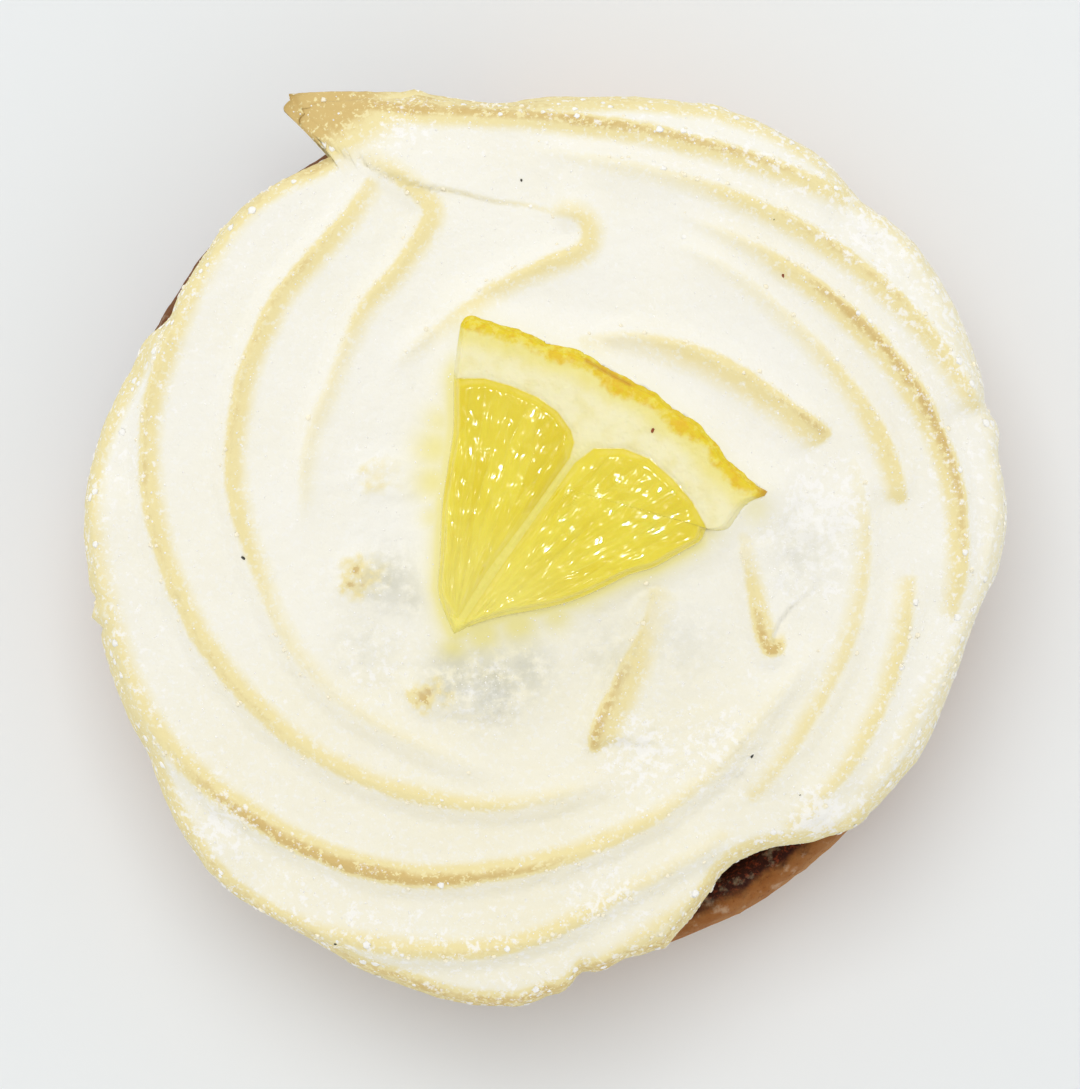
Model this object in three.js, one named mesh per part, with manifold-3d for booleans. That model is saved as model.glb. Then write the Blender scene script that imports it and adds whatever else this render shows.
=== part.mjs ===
// Individual lemon tart: a round shortcrust case, filled to the brim, under one swirl of
// star-piped meringue that ends in a drawn-out tail, with a lemon slice laid on the middle.
// Millimetres, +Z up. The origin is the centre of the case's flat underside.

import * as THREE from 'three';
import { mergeVertices } from 'three/addons/utils/BufferGeometryUtils.js';
import Module from 'manifold-3d';

const wasm = await Module();
wasm.setup();

// ---- Driving dimensions -------------------------------------------------------------------

const GAP = 0.3;              // between pieces that touch
const SHORTEST_EDGE = 0.02;

// The case: a tartlet lined by hand in an 80 mm ring.
const CASE_RADIUS = 40.3;     // outside, at the rim
const CASE_FOOT_RADIUS = 38.9;
const CASE_HEIGHT = 20.2;
const FILL_HEIGHT = 17.2;     // what lies inside the rim
const RIM_CREST_RADIUS = 38.5;
const RIM_INNER_RADIUS = 35.9;
const CASE_OVAL = 0.3;        // how far the hand-lined wall strays from round
const CASE_OVAL_ANGLE = 142;  // towards which it is widest, in degrees
const CASE_WAVE = 0.1;
const CASE_SECTORS = 80;

// The meringue's body: a low dome whose edge rounds over like the side of a rope.
const DOME_TOP = 35.4;
const DOME_DROP = 4.4;        // from the middle to the edge
const DOME_RADIUS = 43;
const EDGE_WIDTH = 3.0;       // how wide the rounding of the edge is
const EDGE_MIDDLE = 25.6;     // height of the widest point
const EDGE_SQUARENESS = 2.8;
const EDGE_FLUTE = 1.3;       // depth of the flutes that run round the edge
const EDGE_FLUTE_TURN = 45;   // degrees of the rounding that one of them takes
const BODY_BOTTOM = 17.2;

// Distance from the middle to the edge, every 12 degrees anticlockwise from +X.
const EDGE_RADII = [
  43.1, 43.1, 43.6, 43.8, 42.8, 43.1, 41.7, 40.3, 40.0, 40.3, 39.6, 40.5, 39.7, 40.1, 41.4,
  41.9, 41.6, 41.5, 42.3, 43.8, 43.1, 43.7, 44.1, 41.5, 39.7, 35.7, 38.4, 40.7, 40.8, 41.1,
];

// The tail: the end of the piped rope, drawn out past the turn that it closes on. Angles are
// in degrees, lean is how far its tip is pulled sideways, and it ends in a small blunt knob.
const TAIL = { from: 96, tip: 116.9, end: 118, reach: 6.2, lift: 9, droop: 1.6, lean: 2.8 };
const TAIL_MIDDLE_LIFT = 5.4;
const TAIL_LEAN_RADII = [38.5, 46];
const KNOB = { angle: 117.4, reach: 44.3, radius: 1 };

// Crests of the star nozzle's flutes. Each winds about the middle: it starts at an angle and
// takes one radius for every step of it. Height is over the dome; fade is the length over
// which it rises at its start and sinks at its end.
const CRESTS = [
  { name: 'left outer', start: 118, step: 16, height: 1.6, fade: [1, 9],
    radii: [39.6, 39.6, 38.0, 36.8, 34.5, 32.2, 30.1, 28.2, 26.5, 25.2, 23.8, 23.3] },
  { name: 'left rim to lower', start: 171, step: 19, height: 1.7, fade: [4, 8],
    radii: [41.1, 39.8, 39.1, 36.6, 34.2, 31.0, 28.7, 27.3, 26.4, 27.6] },
  { name: 'lower outer', start: 231, step: 18, height: 1.7, fade: [4, 4],
    radii: [43.0, 40.6, 37.8, 33.6, 32.4] },
  { name: 'lower rim', start: 276, step: 11, height: 1.0, fade: [2, 2], radii: [40.4, 37.6, 35.9] },
  { name: 'tail', start: 120, step: -15, height: 1.2, fade: [1, 3],
    radii: [45.0, 39.8, 37.8, 37.8, 39.2, 41.9] },
  { name: 'upper', start: 95, step: -16, height: 1.5, fade: [9, 2],
    radii: [34.8, 34.0, 34.9, 36.9, 39.3, 41.5] },
  { name: 'right outer', start: 69, step: -16.5, height: 1.6, fade: [8, 6],
    radii: [31.0, 32.3, 34.4, 36.8, 38.5, 38.5] },
  { name: 'right middle', start: 69, step: -13, height: 1.2, fade: [6, 2],
    radii: [28.4, 29.1, 29.6, 30.6, 32.2, 33.2] },
  { name: 'lower right', start: -6, step: -15, height: 1.2, fade: [4, 4],
    radii: [34.0, 34.8, 35.4, 35.6] },
  { name: 'lower right inner', start: 14, step: -16.5, height: 1.0, fade: [4, 4],
    radii: [29.2, 29.8, 30.0, 30.1, 31.3] },
  { name: 'right rim', start: 40, step: -16, height: 1.0, fade: [3, 3],
    radii: [42.6, 41.6, 42.2, 40.6, 38.6, 38.2] },
];

// Flutes that hook round, as a few points in plan. steep is the side on which they drop
// sharply: 1 for the left of their line and -1 for its right.
const HOOKS = [
  { name: 'left middle', height: 1.5, fade: [1, 12], steep: -1,
    points: [[-15.0, 32.5], [-15.8, 30.7], [-18.1, 27.6], [-23.1, 22.0], [-25.5, 17.3],
      [-27.0, 13.0], [-27.8, 7.8], [-27.6, 3.2], [-26.2, -1.8], [-22.8, -9.7], [-18.1, -15.1],
      [-12.0, -18.8], [-5.9, -21.3], [-0.1, -22.7]] },
  { name: 'left inner', height: 1.3, fade: [2, 9], steep: -1,
    points: [[-16.9, 34.2], [-13.7, 32.7], [-10.5, 30.0], [-10.0, 28.3], [-12.7, 23.9],
      [-16.0, 20.0], [-18.3, 14.5], [-20.7, 8.3], [-21.2, 3.2], [-21.4, -2.2]] },
  { name: 'upper hook', height: 1.4, fade: [2, 8], steep: -1,
    points: [[0.8, 28.9], [3.2, 28.7], [4.5, 27.4], [4.0, 25.7], [0.8, 24.2], [-3.3, 22.3],
      [-9.2, 18.1], [-12.4, 15.4], [-14.2, 12.9]] },
  { name: 'right hook', height: 1.8, fade: [4, 1], steep: 1,
    points: [[3.2, 17.0], [8.6, 17.5], [14.0, 16.3], [18.7, 14.0], [23.0, 11.1], [27.0, 8.1]] },
  { name: 'lower right hook', height: 1.4, fade: [2, 1], steep: -1,
    points: [[18.3, 0.3], [18.9, -2.7], [20.0, -8.4], [20.6, -10.4], [21.3, -11.0],
      [22.1, -10.0]] },
  { name: 'lower hook', height: 1.8, fade: [2, 1], steep: -1,
    points: [[10.3, -4.5], [10.3, -6.7], [8.1, -12.0], [5.7, -16.9], [5.1, -19.1],
      [5.3, -20.4]] },
];
const CREST_SHIFT = 0.45;         // the drop begins this far outside the traced line
const CREST_TOP = 0.6;            // half width of the rounded top
const CREST_OUTER_WIDTH = 1.7;    // how fast the steep outer side of a crest falls
const CREST_INNER_WIDTH = 2.7;    // how fast its gentle inner side falls
const CREST_POINT_SPACING = 0.9;
const CURVE_STEPS = 12;

// The rounded ends of flutes near the middle: tip and root in plan.
const NOSES = [
  { tip: [-18.7, -4.1], root: [-9.3, -4.7], halfWidth: 2.7, height: 1.1 },
  { tip: [-12.1, -14.8], root: [2.0, -15.3], halfWidth: 2.0, height: 1.0 },
  { tip: [-16.8, 4.8], root: [-8.8, 5.4], halfWidth: 2.2, height: 0.7 },
];

const LAST_TURN_STEP = 0.5;       // the last turn lies a little over the turn inside it
const LAST_TURN_WIDTH = [2, 7];
const SEAM_FADE = 12;             // it dies out over this length by the middle
const SEAM = [[-18.0, 34.6], [-13.8, 32.4], [-7.2, 30.7], [-0.8, 29.5], [2.0, 28.7]];

// The mesh of the swirl: spokes that wind with the crests, rings, and steps round the edge.
const SPOKES_FROM = -237;
const SPOKES_STEP = 3.8;
const TAIL_SPOKES = [103.8, 106.4, 109, 111.4, 113.4, 115, 116.1, 116.7, 117.4, 118.1, 118.7, 120.6];
const WINDING = [1, 1, 1.5, 2.5, 4.5, 8, 11, 10, 0];   // degrees per mm, from the middle outwards
const DOME_RINGS = 27;
const EDGE_STEPS = 13;
const UNDER_RINGS = 2;
const WINDING_SLICES = 60;

// The lemon slice: two segments of a 57 mm lemon, cut 4.6 mm thick.
const SLICE_BOTTOM = 34.0;
const SLICE_THICKNESS = 4.6;
const SLICE_TIP = [-7.6, -10.0];
const SLICE_LEFT_CORNER = [-7.0, 18.9];
const SLICE_RIGHT_CORNER = [20.4, 3.3];
const SLICE_RIND_BULGE = 2.8;     // how far the rind bows out from its chord
const SLICE_SIDE_BULGE = 0.7;
const SLICE_BEVEL = 0.6;
const SLICE_CURVE_STEPS = 18;
const SLICE_CENTRE = [1, 4];
const SLICE_MEAN_RADIUS = 15;
const SLICE_RADIUS = 29;          // from its tip to the zest
const RIND_WIDTH = 5.6;           // zest and pith together
const MEMBRANE_WIDTH = 0.5;
const FLESH_RISE = 0.35;          // the flesh swells over the pith
const FLESH_DEPTH = 3.6;
const FLESH_BEVEL = 0.35;
const FLESH_CURVE_STEPS = 8;
const FLESH_BULGE = 2.2;
const FLESH_CORNER = 0.97;        // how far out the flesh reaches along a cut side
const MEMBRANE_START = 0.06;      // how far from the tip the membrane begins to part the flesh

// The meringue rises against the slice's sides and runs down from there to the dome.
const BED_MARGIN = 0.5;
const BED_HEIGHT = 12;
const BED_BEVEL = 0.2;
const BANK = { height: 1.9, width: 2, slope: 0.4, blend: 0.5, reach: 8 };

// ---- Small helpers ------------------------------------------------------------------------

const clamp01 = (t) => Math.min(1, Math.max(0, t));
const smooth = (a, b, t) => {
  const u = clamp01((t - a) / (b - a));
  return u * u * (3 - 2 * u);
};
const radians = THREE.MathUtils.degToRad;

function catmull(values, position, closed) {
  const last = values.length - 1;
  const cell = closed ? Math.floor(position) : Math.min(Math.floor(position), last - 1);
  const f = position - cell;
  const at = (i) => (closed ? values[((i % values.length) + values.length) % values.length]
    : values[Math.min(last, Math.max(0, i))]);
  const [p, a, b, q] = [at(cell - 1), at(cell), at(cell + 1), at(cell + 2)];
  return a + 0.5 * f * (b - p + f * (2 * p - 5 * a + 4 * b - q + f * (3 * (a - b) + q - p)));
}

function solidOf(geometry) {
  geometry.deleteAttribute('normal');
  geometry.deleteAttribute('uv');
  const merged = mergeVertices(geometry, 1e-4);
  return new wasm.Manifold(new wasm.Mesh({
    numProp: 3,
    vertProperties: new Float32Array(merged.attributes.position.array),
    triVerts: new Uint32Array(merged.index.array),
  }));
}

// Closes up the edges that a cut has left too short to matter, and the triangles on them.
function withoutShortEdges(points, corners) {
  const at = (i) => new THREE.Vector3().fromArray(points, 3 * i);
  const stand = Array.from({ length: points.length / 3 }, (_, i) => i);
  const standIn = (i) => (stand[i] === i ? i : standIn(stand[i]));
  for (let i = 0; i < corners.length; i += 3) {
    for (let k = 0; k < 3; k += 1) {
      const a = standIn(corners[i + k]);
      const b = standIn(corners[i + ((k + 1) % 3)]);
      if (a !== b && at(a).distanceTo(at(b)) < SHORTEST_EDGE) stand[Math.max(a, b)] = Math.min(a, b);
    }
  }
  const kept = [];
  for (let i = 0; i < corners.length; i += 3) {
    const [a, b, c] = [0, 1, 2].map((k) => standIn(corners[i + k]));
    if (a !== b && b !== c && c !== a) kept.push(a, b, c);
  }
  return kept;
}

// The solid as a named mesh.
function meshOf(solid, name, look) {
  const { vertProperties, triVerts } = solid.simplify(SHORTEST_EDGE).getMesh();
  const whole = new THREE.BufferGeometry();
  whole.setAttribute('position', new THREE.BufferAttribute(vertProperties, 3));
  whole.setIndex(withoutShortEdges(vertProperties, triVerts));
  const geometry = mergeVertices(whole, 1e-5);
  geometry.computeVertexNormals();
  const mesh = new THREE.Mesh(geometry, new THREE.MeshStandardMaterial({ ...look, metalness: 0 }));
  mesh.name = name;
  return mesh;
}

// A closed skin over columns of points that all have the same length. Each column runs from
// the first pole, over the outside, to the last pole.
function skinOf(columns, firstPole, lastPole) {
  const rows = columns[0].length;
  const points = [firstPole, ...columns.flat(), lastPole];
  const index = [];
  const at = (column, row) => 1 + (column % columns.length) * rows + row;
  for (let c = 0; c < columns.length; c += 1) {
    index.push(0, at(c, 0), at(c + 1, 0));
    for (let r = 0; r < rows - 1; r += 1) {
      index.push(at(c, r), at(c, r + 1), at(c + 1, r));
      index.push(at(c, r + 1), at(c + 1, r + 1), at(c + 1, r));
    }
    index.push(at(c, rows - 1), points.length - 1, at(c + 1, rows - 1));
  }
  const geometry = new THREE.BufferGeometry();
  geometry.setAttribute('position', new THREE.Float32BufferAttribute(points.flat(), 3));
  geometry.setIndex(index);
  return geometry;
}

// ---- Case ---------------------------------------------------------------------------------

// Profile from the middle of the top, over the rim, to the foot, grown outwards by a margin.
function caseProfile(margin) {
  const top = CASE_HEIGHT + margin;
  const outer = CASE_RADIUS + margin;
  const inner = RIM_INNER_RADIUS - margin;
  const fill = FILL_HEIGHT + margin;
  return [
    [inner - 0.5, fill],
    [inner + 0.1, fill + 0.5],
    [inner + 0.9, top - 0.9],
    [RIM_CREST_RADIUS - 0.8, top - 0.15],
    [RIM_CREST_RADIUS + 0.3, top],
    [outer - 0.6, top - 0.6],
    [outer, top - 2.0],
    [outer - 0.2, top - 6],
    [CASE_FOOT_RADIUS + margin, 1.2 - margin],
    [CASE_FOOT_RADIUS - 0.9 + margin, -margin],
  ];
}

function caseSolid(margin) {
  const wobble = (angle) => CASE_OVAL * Math.cos(2 * (angle - radians(CASE_OVAL_ANGLE)))
    + CASE_WAVE * Math.sin(5 * angle + 2);
  const columns = [];
  for (let i = 0; i < CASE_SECTORS; i += 1) {
    const angle = (i * 2 * Math.PI) / CASE_SECTORS;
    columns.push(caseProfile(margin).map(([radius, z], row) => {
      const r = radius + (row > 2 ? wobble(angle) : 0);
      return [r * Math.cos(angle), r * Math.sin(angle), z];
    }));
  }
  return solidOf(skinOf(columns, [0, 0, FILL_HEIGHT + margin], [0, 0, -margin]));
}

// ---- Meringue swirl -----------------------------------------------------------------------

function crestPoints(crest) {
  const plan = crest.points
    ? crest.points
    : crest.radii.map((radius, i) => [radius, radians(crest.start + i * crest.step)]);
  const last = plan.length - 1;
  const points = [];
  for (let i = 0; i <= last * CURVE_STEPS; i += 1) {
    const u = Math.min(last - 1e-6, i / CURVE_STEPS);
    const a = catmull(plan.map((p) => p[0]), u, false);
    const b = catmull(plan.map((p) => p[1]), u, false);
    points.push(crest.points ? [a, b] : [a * Math.cos(b), a * Math.sin(b)]);
  }
  const kept = [points[0]];
  for (const p of points) {
    const [x, y] = kept[kept.length - 1];
    if (Math.hypot(p[0] - x, p[1] - y) >= CREST_POINT_SPACING) kept.push(p);
  }
  return kept;
}

// A crest that winds drops on the side away from the middle.
const CREST_LINES = [...CRESTS, ...HOOKS].map((crest) => {
  const points = crestPoints(crest);
  const length = (points.length - 1) * CREST_POINT_SPACING;
  const steep = crest.steep || -Math.sign(crest.step);
  return { ...crest, plan: points, length, steep };
});
const SEAM_LINE = crestPoints({ points: SEAM });

// Nearest point of a line: how far away it is, how far along, and on which side (+1 left).
function nearest(line, x, y) {
  let best = { distance: Infinity, along: 0, side: 1 };
  for (let i = 0; i < line.length - 1; i += 1) {
    const [ax, ay] = line[i];
    const [dx, dy] = [line[i + 1][0] - ax, line[i + 1][1] - ay];
    const t = clamp01(((x - ax) * dx + (y - ay) * dy) / (dx * dx + dy * dy));
    const [nx, ny] = [ax + t * dx, ay + t * dy];
    const distance = Math.hypot(x - nx, y - ny);
    if (distance < best.distance) {
      const side = dx * (y - ny) - dy * (x - nx) > 0 ? 1 : -1;
      best = { distance, along: (i + t) * CREST_POINT_SPACING, side };
    }
  }
  return best;
}

function crestHeight(x, y) {
  let height = 0;
  for (const crest of CREST_LINES) {
    const { distance, along, side } = nearest(crest.plan, x, y);
    const out = distance * side * crest.steep - CREST_SHIFT;
    const steep = 1 - smooth(-CREST_TOP, CREST_OUTER_WIDTH, out);
    const gentle = Math.exp(-Math.max(0, -out - CREST_TOP) / CREST_INNER_WIDTH);
    const rise = smooth(-0.5, crest.fade[0], along);
    const sink = smooth(-0.5, crest.fade[1], crest.length - along);
    height += crest.height * steep * gentle * rise * sink;
  }
  return height;
}

function noseHeight(x, y) {
  let height = 0;
  for (const { tip, root, halfWidth, height: top } of NOSES) {
    const length = Math.hypot(root[0] - tip[0], root[1] - tip[1]);
    const [dx, dy] = [(root[0] - tip[0]) / length, (root[1] - tip[1]) / length];
    const along = (x - tip[0]) * dx + (y - tip[1]) * dy - halfWidth;
    const across = (y - tip[1]) * dx - (x - tip[0]) * dy;
    const reach = Math.hypot(Math.min(along, 0), across) / halfWidth;
    height += top * (1 - smooth(0.55, 1.12, reach)) * (1 - smooth(length / 4, length, along));
  }
  return height;
}

function lastTurnHeight(x, y) {
  const { distance, along, side } = nearest(SEAM_LINE, x, y);
  const length = (SEAM_LINE.length - 1) * CREST_POINT_SPACING;
  const dying = smooth(0, SEAM_FADE, length - along);
  return side > 0 ? LAST_TURN_STEP * dying * (1 - smooth(...LAST_TURN_WIDTH, distance)) : 0;
}

// How far a place in plan is outside a closed outline, or less than 0 inside it.
function outsideOf(outline, x, y) {
  let away = Infinity;
  let inside = false;
  outline.forEach(([ax, ay], i) => {
    const [bx, by] = outline[(i + 1) % outline.length];
    const [dx, dy] = [bx - ax, by - ay];
    const t = clamp01(((x - ax) * dx + (y - ay) * dy) / Math.max(1e-9, dx * dx + dy * dy));
    away = Math.min(away, Math.hypot(x - ax - t * dx, y - ay - t * dy));
    if (ay > y !== by > y && x < ax + ((y - ay) / dy) * dx) inside = !inside;
  });
  return inside ? -away : away;
}

// Lifts a height of the dome to the bank that the slice is pressed into.
function banked(outline, x, y, z) {
  const beyond = outsideOf(outline, x, y);
  if (beyond > BANK.reach) return z;
  const away = Math.max(0, beyond);
  const bank = SLICE_BOTTOM + BANK.height * Math.exp(-away / BANK.width) - BANK.slope * away;
  const share = clamp01(0.5 + (0.5 * (bank - z)) / BANK.blend);
  return z + (bank - z) * share + BANK.blend * share * (1 - share);
}

const tailShare = (degrees) => (degrees > TAIL.tip
  ? 1 - smooth(TAIL.tip, TAIL.end, degrees)
  : clamp01((degrees - TAIL.from) / (TAIL.tip - TAIL.from)) ** 1.8);

// How far out the knob reaches at an angle, or 0 where it doesn't.
function knobRadius(degrees) {
  const away = radians(degrees - KNOB.angle);
  const half = KNOB.radius ** 2 - (KNOB.reach * Math.sin(away)) ** 2;
  return half > 0 ? KNOB.reach * Math.cos(away) + Math.sqrt(half) : 0;
}

function edgeRadius(degrees) {
  const round = catmull(EDGE_RADII, (((degrees % 360) + 360) % 360) / 12, true);
  return Math.max(round + TAIL.reach * tailShare(degrees), knobRadius(degrees));
}

// How far a spoke has wound, in degrees, at a share of the way out to the shoulder.
function winding(share, shoulder) {
  let turned = 0;
  for (let i = 0; i < WINDING_SLICES; i += 1) {
    const there = share + ((1 - share) * (i + 0.5)) / WINDING_SLICES;
    turned += catmull(WINDING, there * (WINDING.length - 1), false) / WINDING_SLICES;
  }
  return turned * (1 - share) * shoulder;
}

// One spoke of the swirl, from near the middle of the top to near the middle of the bottom.
function spoke(degrees, sliceEdge) {
  const share = knobRadius(degrees) > 0 ? 1 : tailShare(degrees);
  const edge = edgeRadius(degrees);
  const shoulder = edge - EDGE_WIDTH - TAIL.reach * share;
  const middle = EDGE_MIDDLE + TAIL_MIDDLE_LIFT * share;
  const bottom = BODY_BOTTOM + TAIL.lift * share;
  const point = (r, z, wound = 0) => {
    const lean = TAIL.lean * share * smooth(...TAIL_LEAN_RADII, r);
    const angle = radians(degrees + wound + lean);
    return [r * Math.cos(angle), r * Math.sin(angle), z];
  };
  const relief = ([x, y]) => crestHeight(x, y) + noseHeight(x, y) + lastTurnHeight(x, y);
  const dome = (r) => DOME_TOP - DOME_DROP * (r / DOME_RADIUS) ** 2
    - TAIL.droop * share * smooth(shoulder, edge, r);
  const column = [];
  for (let ring = 1; ring <= DOME_RINGS; ring += 1) {
    const r = (shoulder * ring) / DOME_RINGS;
    const spot = point(r, dome(r), winding(ring / DOME_RINGS, shoulder));
    spot[2] = banked(sliceEdge, spot[0], spot[1], spot[2] + relief(spot));
    column.push(spot);
  }
  for (let step = 1; step <= EDGE_STEPS; step += 1) {
    const turn = (180 * step) / EDGE_STEPS;
    const power = 2 / EDGE_SQUARENESS;
    const out = Math.max(0, Math.sin(radians(turn))) ** power;
    const cosine = Math.cos(radians(turn));
    const up = Math.sign(cosine) * Math.abs(cosine) ** power;
    const waist = 0.5 - 0.5 * Math.cos((2 * Math.PI * (turn - 90)) / EDGE_FLUTE_TURN);
    const flute = EDGE_FLUTE * waist * smooth(40, 70, turn) * out;
    const r = shoulder + (edge - shoulder) * out - flute;
    const spot = point(r, middle + up * (up > 0 ? dome(r) - middle : middle - bottom));
    spot[2] += up > 0 ? relief(spot) * up : 0;
    column.push(spot);
  }
  for (let ring = 1; ring <= UNDER_RINGS; ring += 1) {
    const r = shoulder * (1 - ring / (UNDER_RINGS + 1));
    column.push(point(r, BODY_BOTTOM + (bottom - BODY_BOTTOM) * 0.5 * (1 - ring / UNDER_RINGS)));
  }
  return column;
}

function swirlSolid(sliceEdge) {
  const angles = [];
  for (let degrees = SPOKES_FROM; degrees < TAIL_SPOKES[0] - 1; degrees += SPOKES_STEP) {
    angles.push(degrees);
  }
  const columns = [...angles, ...TAIL_SPOKES].map((degrees) => spoke(degrees, sliceEdge));
  const top = [0, 0, banked(sliceEdge, 0, 0, DOME_TOP + crestHeight(0, 0))];
  return solidOf(skinOf(columns, top, [0, 0, BODY_BOTTOM]));
}

// ---- Lemon slice --------------------------------------------------------------------------

const between = (a, b, t) => [a[0] + (b[0] - a[0]) * t, a[1] + (b[1] - a[1]) * t];

function bowed(path, from, to, bulge) {
  const middle = between(from, to, 0.5);
  const length = Math.hypot(to[0] - from[0], to[1] - from[1]);
  const [nx, ny] = [(to[1] - from[1]) / length, -(to[0] - from[0]) / length];
  path.quadraticCurveTo(middle[0] + 2 * bulge * nx, middle[1] + 2 * bulge * ny, to[0], to[1]);
}

function slab(outline, bottom, thickness, bevel, curveSteps) {
  const geometry = new THREE.ExtrudeGeometry(outline, {
    depth: thickness - 2 * bevel,
    bevelEnabled: true,
    bevelThickness: bevel,
    bevelSize: bevel,
    bevelOffset: -bevel,
    bevelSegments: 2,
    curveSegments: curveSteps,
  });
  geometry.translate(0, 0, bottom + bevel);
  return solidOf(geometry);
}

function sliceOutline(grow) {
  const grown = (p) => between(SLICE_CENTRE, p, 1 + grow / SLICE_MEAN_RADIUS);
  const [tip, left, right] = [SLICE_TIP, SLICE_LEFT_CORNER, SLICE_RIGHT_CORNER].map(grown);
  const outline = new THREE.Shape();
  outline.moveTo(...tip);
  bowed(outline, tip, right, SLICE_SIDE_BULGE);
  bowed(outline, right, left, SLICE_RIND_BULGE);
  bowed(outline, left, tip, SLICE_SIDE_BULGE);
  return outline;
}

// One of the two segments, between the membrane and the cut side.
function segmentOutline(side) {
  const [left, right] = [SLICE_LEFT_CORNER, SLICE_RIGHT_CORNER];
  const inner = (p) => between(p, SLICE_TIP, RIND_WIDTH / SLICE_RADIUS);
  const ridge = between(inner(left), inner(right), 0.5);
  const outerCorner = between(SLICE_TIP, inner(side > 0 ? right : left), FLESH_CORNER);
  const lean = between(SLICE_TIP, ridge, MEMBRANE_START);
  const shift = (p, by) => [p[0] + side * by * 0.5, p[1] - side * by * 0.87];
  const outline = new THREE.Shape();
  outline.moveTo(...shift(lean, MEMBRANE_WIDTH));
  const rim = shift(ridge, MEMBRANE_WIDTH);
  if (side > 0) {
    outline.lineTo(...outerCorner);
    bowed(outline, outerCorner, rim, FLESH_BULGE);
  } else {
    outline.lineTo(...rim);
    bowed(outline, rim, outerCorner, FLESH_BULGE);
  }
  outline.closePath();
  return outline;
}

function sliceSolid() {
  const thickness = SLICE_THICKNESS - FLESH_RISE;
  const fleshBottom = SLICE_BOTTOM + SLICE_THICKNESS - FLESH_DEPTH;
  let slice = slab(sliceOutline(0), SLICE_BOTTOM, thickness, SLICE_BEVEL, SLICE_CURVE_STEPS);
  for (const side of [1, -1]) {
    const outline = segmentOutline(side);
    slice = slice.add(slab(outline, fleshBottom, FLESH_DEPTH, FLESH_BEVEL, FLESH_CURVE_STEPS));
  }
  return slice;
}

// ---- The tart -----------------------------------------------------------------------------

const pastryCase = caseSolid(0);
const lemonSlice = sliceSolid();
const bedOutline = sliceOutline(BED_MARGIN);
const sliceEdge = bedOutline.getPoints(SLICE_CURVE_STEPS).map((point) => [point.x, point.y]);
const bed = slab(bedOutline, SLICE_BOTTOM - GAP, BED_HEIGHT, BED_BEVEL, SLICE_CURVE_STEPS);
const meringue = swirlSolid(sliceEdge).subtract(caseSolid(GAP)).subtract(bed);

const group = new THREE.Group();
group.add(
  meshOf(pastryCase, 'pastry_case', { color: 0xb0703c, roughness: 0.8 }),
  meshOf(meringue, 'meringue', { color: 0xf7f1e0, roughness: 0.7 }),
  meshOf(lemonSlice, 'lemon_slice', { color: 0xead84a, roughness: 0.35 }),
);

export default group;
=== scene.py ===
# Individual lemon tart: a browned shortcrust case under one swirl of star-piped meringue with
# a drawn-out tail, toasted along its flutes and dusted with icing sugar, and a lemon slice.
# Sizes below are in millimetres and follow the solids of the frame. Meshes are in metres.

import math
from typing import NamedTuple

import bpy
import numpy as np
from bpy.props import FloatProperty, FloatVectorProperty, IntProperty, PointerProperty
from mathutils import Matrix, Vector, noise


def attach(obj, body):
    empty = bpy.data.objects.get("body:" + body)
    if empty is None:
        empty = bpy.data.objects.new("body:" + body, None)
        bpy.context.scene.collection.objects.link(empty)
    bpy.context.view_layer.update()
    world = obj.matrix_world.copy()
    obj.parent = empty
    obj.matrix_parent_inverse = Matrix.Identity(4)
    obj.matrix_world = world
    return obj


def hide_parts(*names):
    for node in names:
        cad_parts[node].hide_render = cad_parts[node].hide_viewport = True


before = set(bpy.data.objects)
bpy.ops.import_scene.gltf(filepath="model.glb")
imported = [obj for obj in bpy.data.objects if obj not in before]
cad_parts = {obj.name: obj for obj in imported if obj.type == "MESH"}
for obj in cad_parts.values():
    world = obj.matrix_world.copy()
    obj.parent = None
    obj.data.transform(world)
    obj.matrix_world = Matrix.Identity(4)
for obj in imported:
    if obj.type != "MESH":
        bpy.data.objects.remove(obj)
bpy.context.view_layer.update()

bl_info = {
    "name": "Lemon Tart",
    "version": (1, 0, 0),
    "blender": (4, 5, 0),
    "location": "View3D > Sidebar > Tart",
    "description": "Builds an individual lemon meringue tart around its solids",
    "category": "Object",
}

MM = 0.001
BODY = "root"
FAR = 99.0


def paint(red, green, blue):
    """A colour given as it shows on a screen, from 0 to 255, as Blender's linear colour."""
    shares = [channel / 255 for channel in (red, green, blue)]
    return tuple(s / 12.92 if s <= 0.04045 else ((s + 0.055) / 1.055) ** 2.4 for s in shares)


# ---- Curves and distances -----------------------------------------------------------------

def smooth(low, high, value):
    """Rises from 0 at low to 1 at high, level at both ends."""
    share = np.clip((value - low) / (high - low), 0.0, 1.0)
    return share * share * (3.0 - 2.0 * share)


def catmull(values, position, closed=False):
    """A smooth line through values, read at positions counted in steps from the first."""
    values = np.asarray(values, float)
    position = np.asarray(position, float)
    last = len(values) - 1
    cell = np.floor(position).astype(int)
    if not closed:
        cell = np.clip(cell, 0, last - 1)
    f = position - cell

    def at(i):
        return values[i % len(values)] if closed else values[np.clip(i, 0, last)]

    before, a, b, after = at(cell - 1), at(cell), at(cell + 1), at(cell + 2)
    bend = 2 * before - 5 * a + 4 * b - after + f * (3 * (a - b) + after - before)
    return a + 0.5 * f * (b - before + f * bend)


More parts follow.
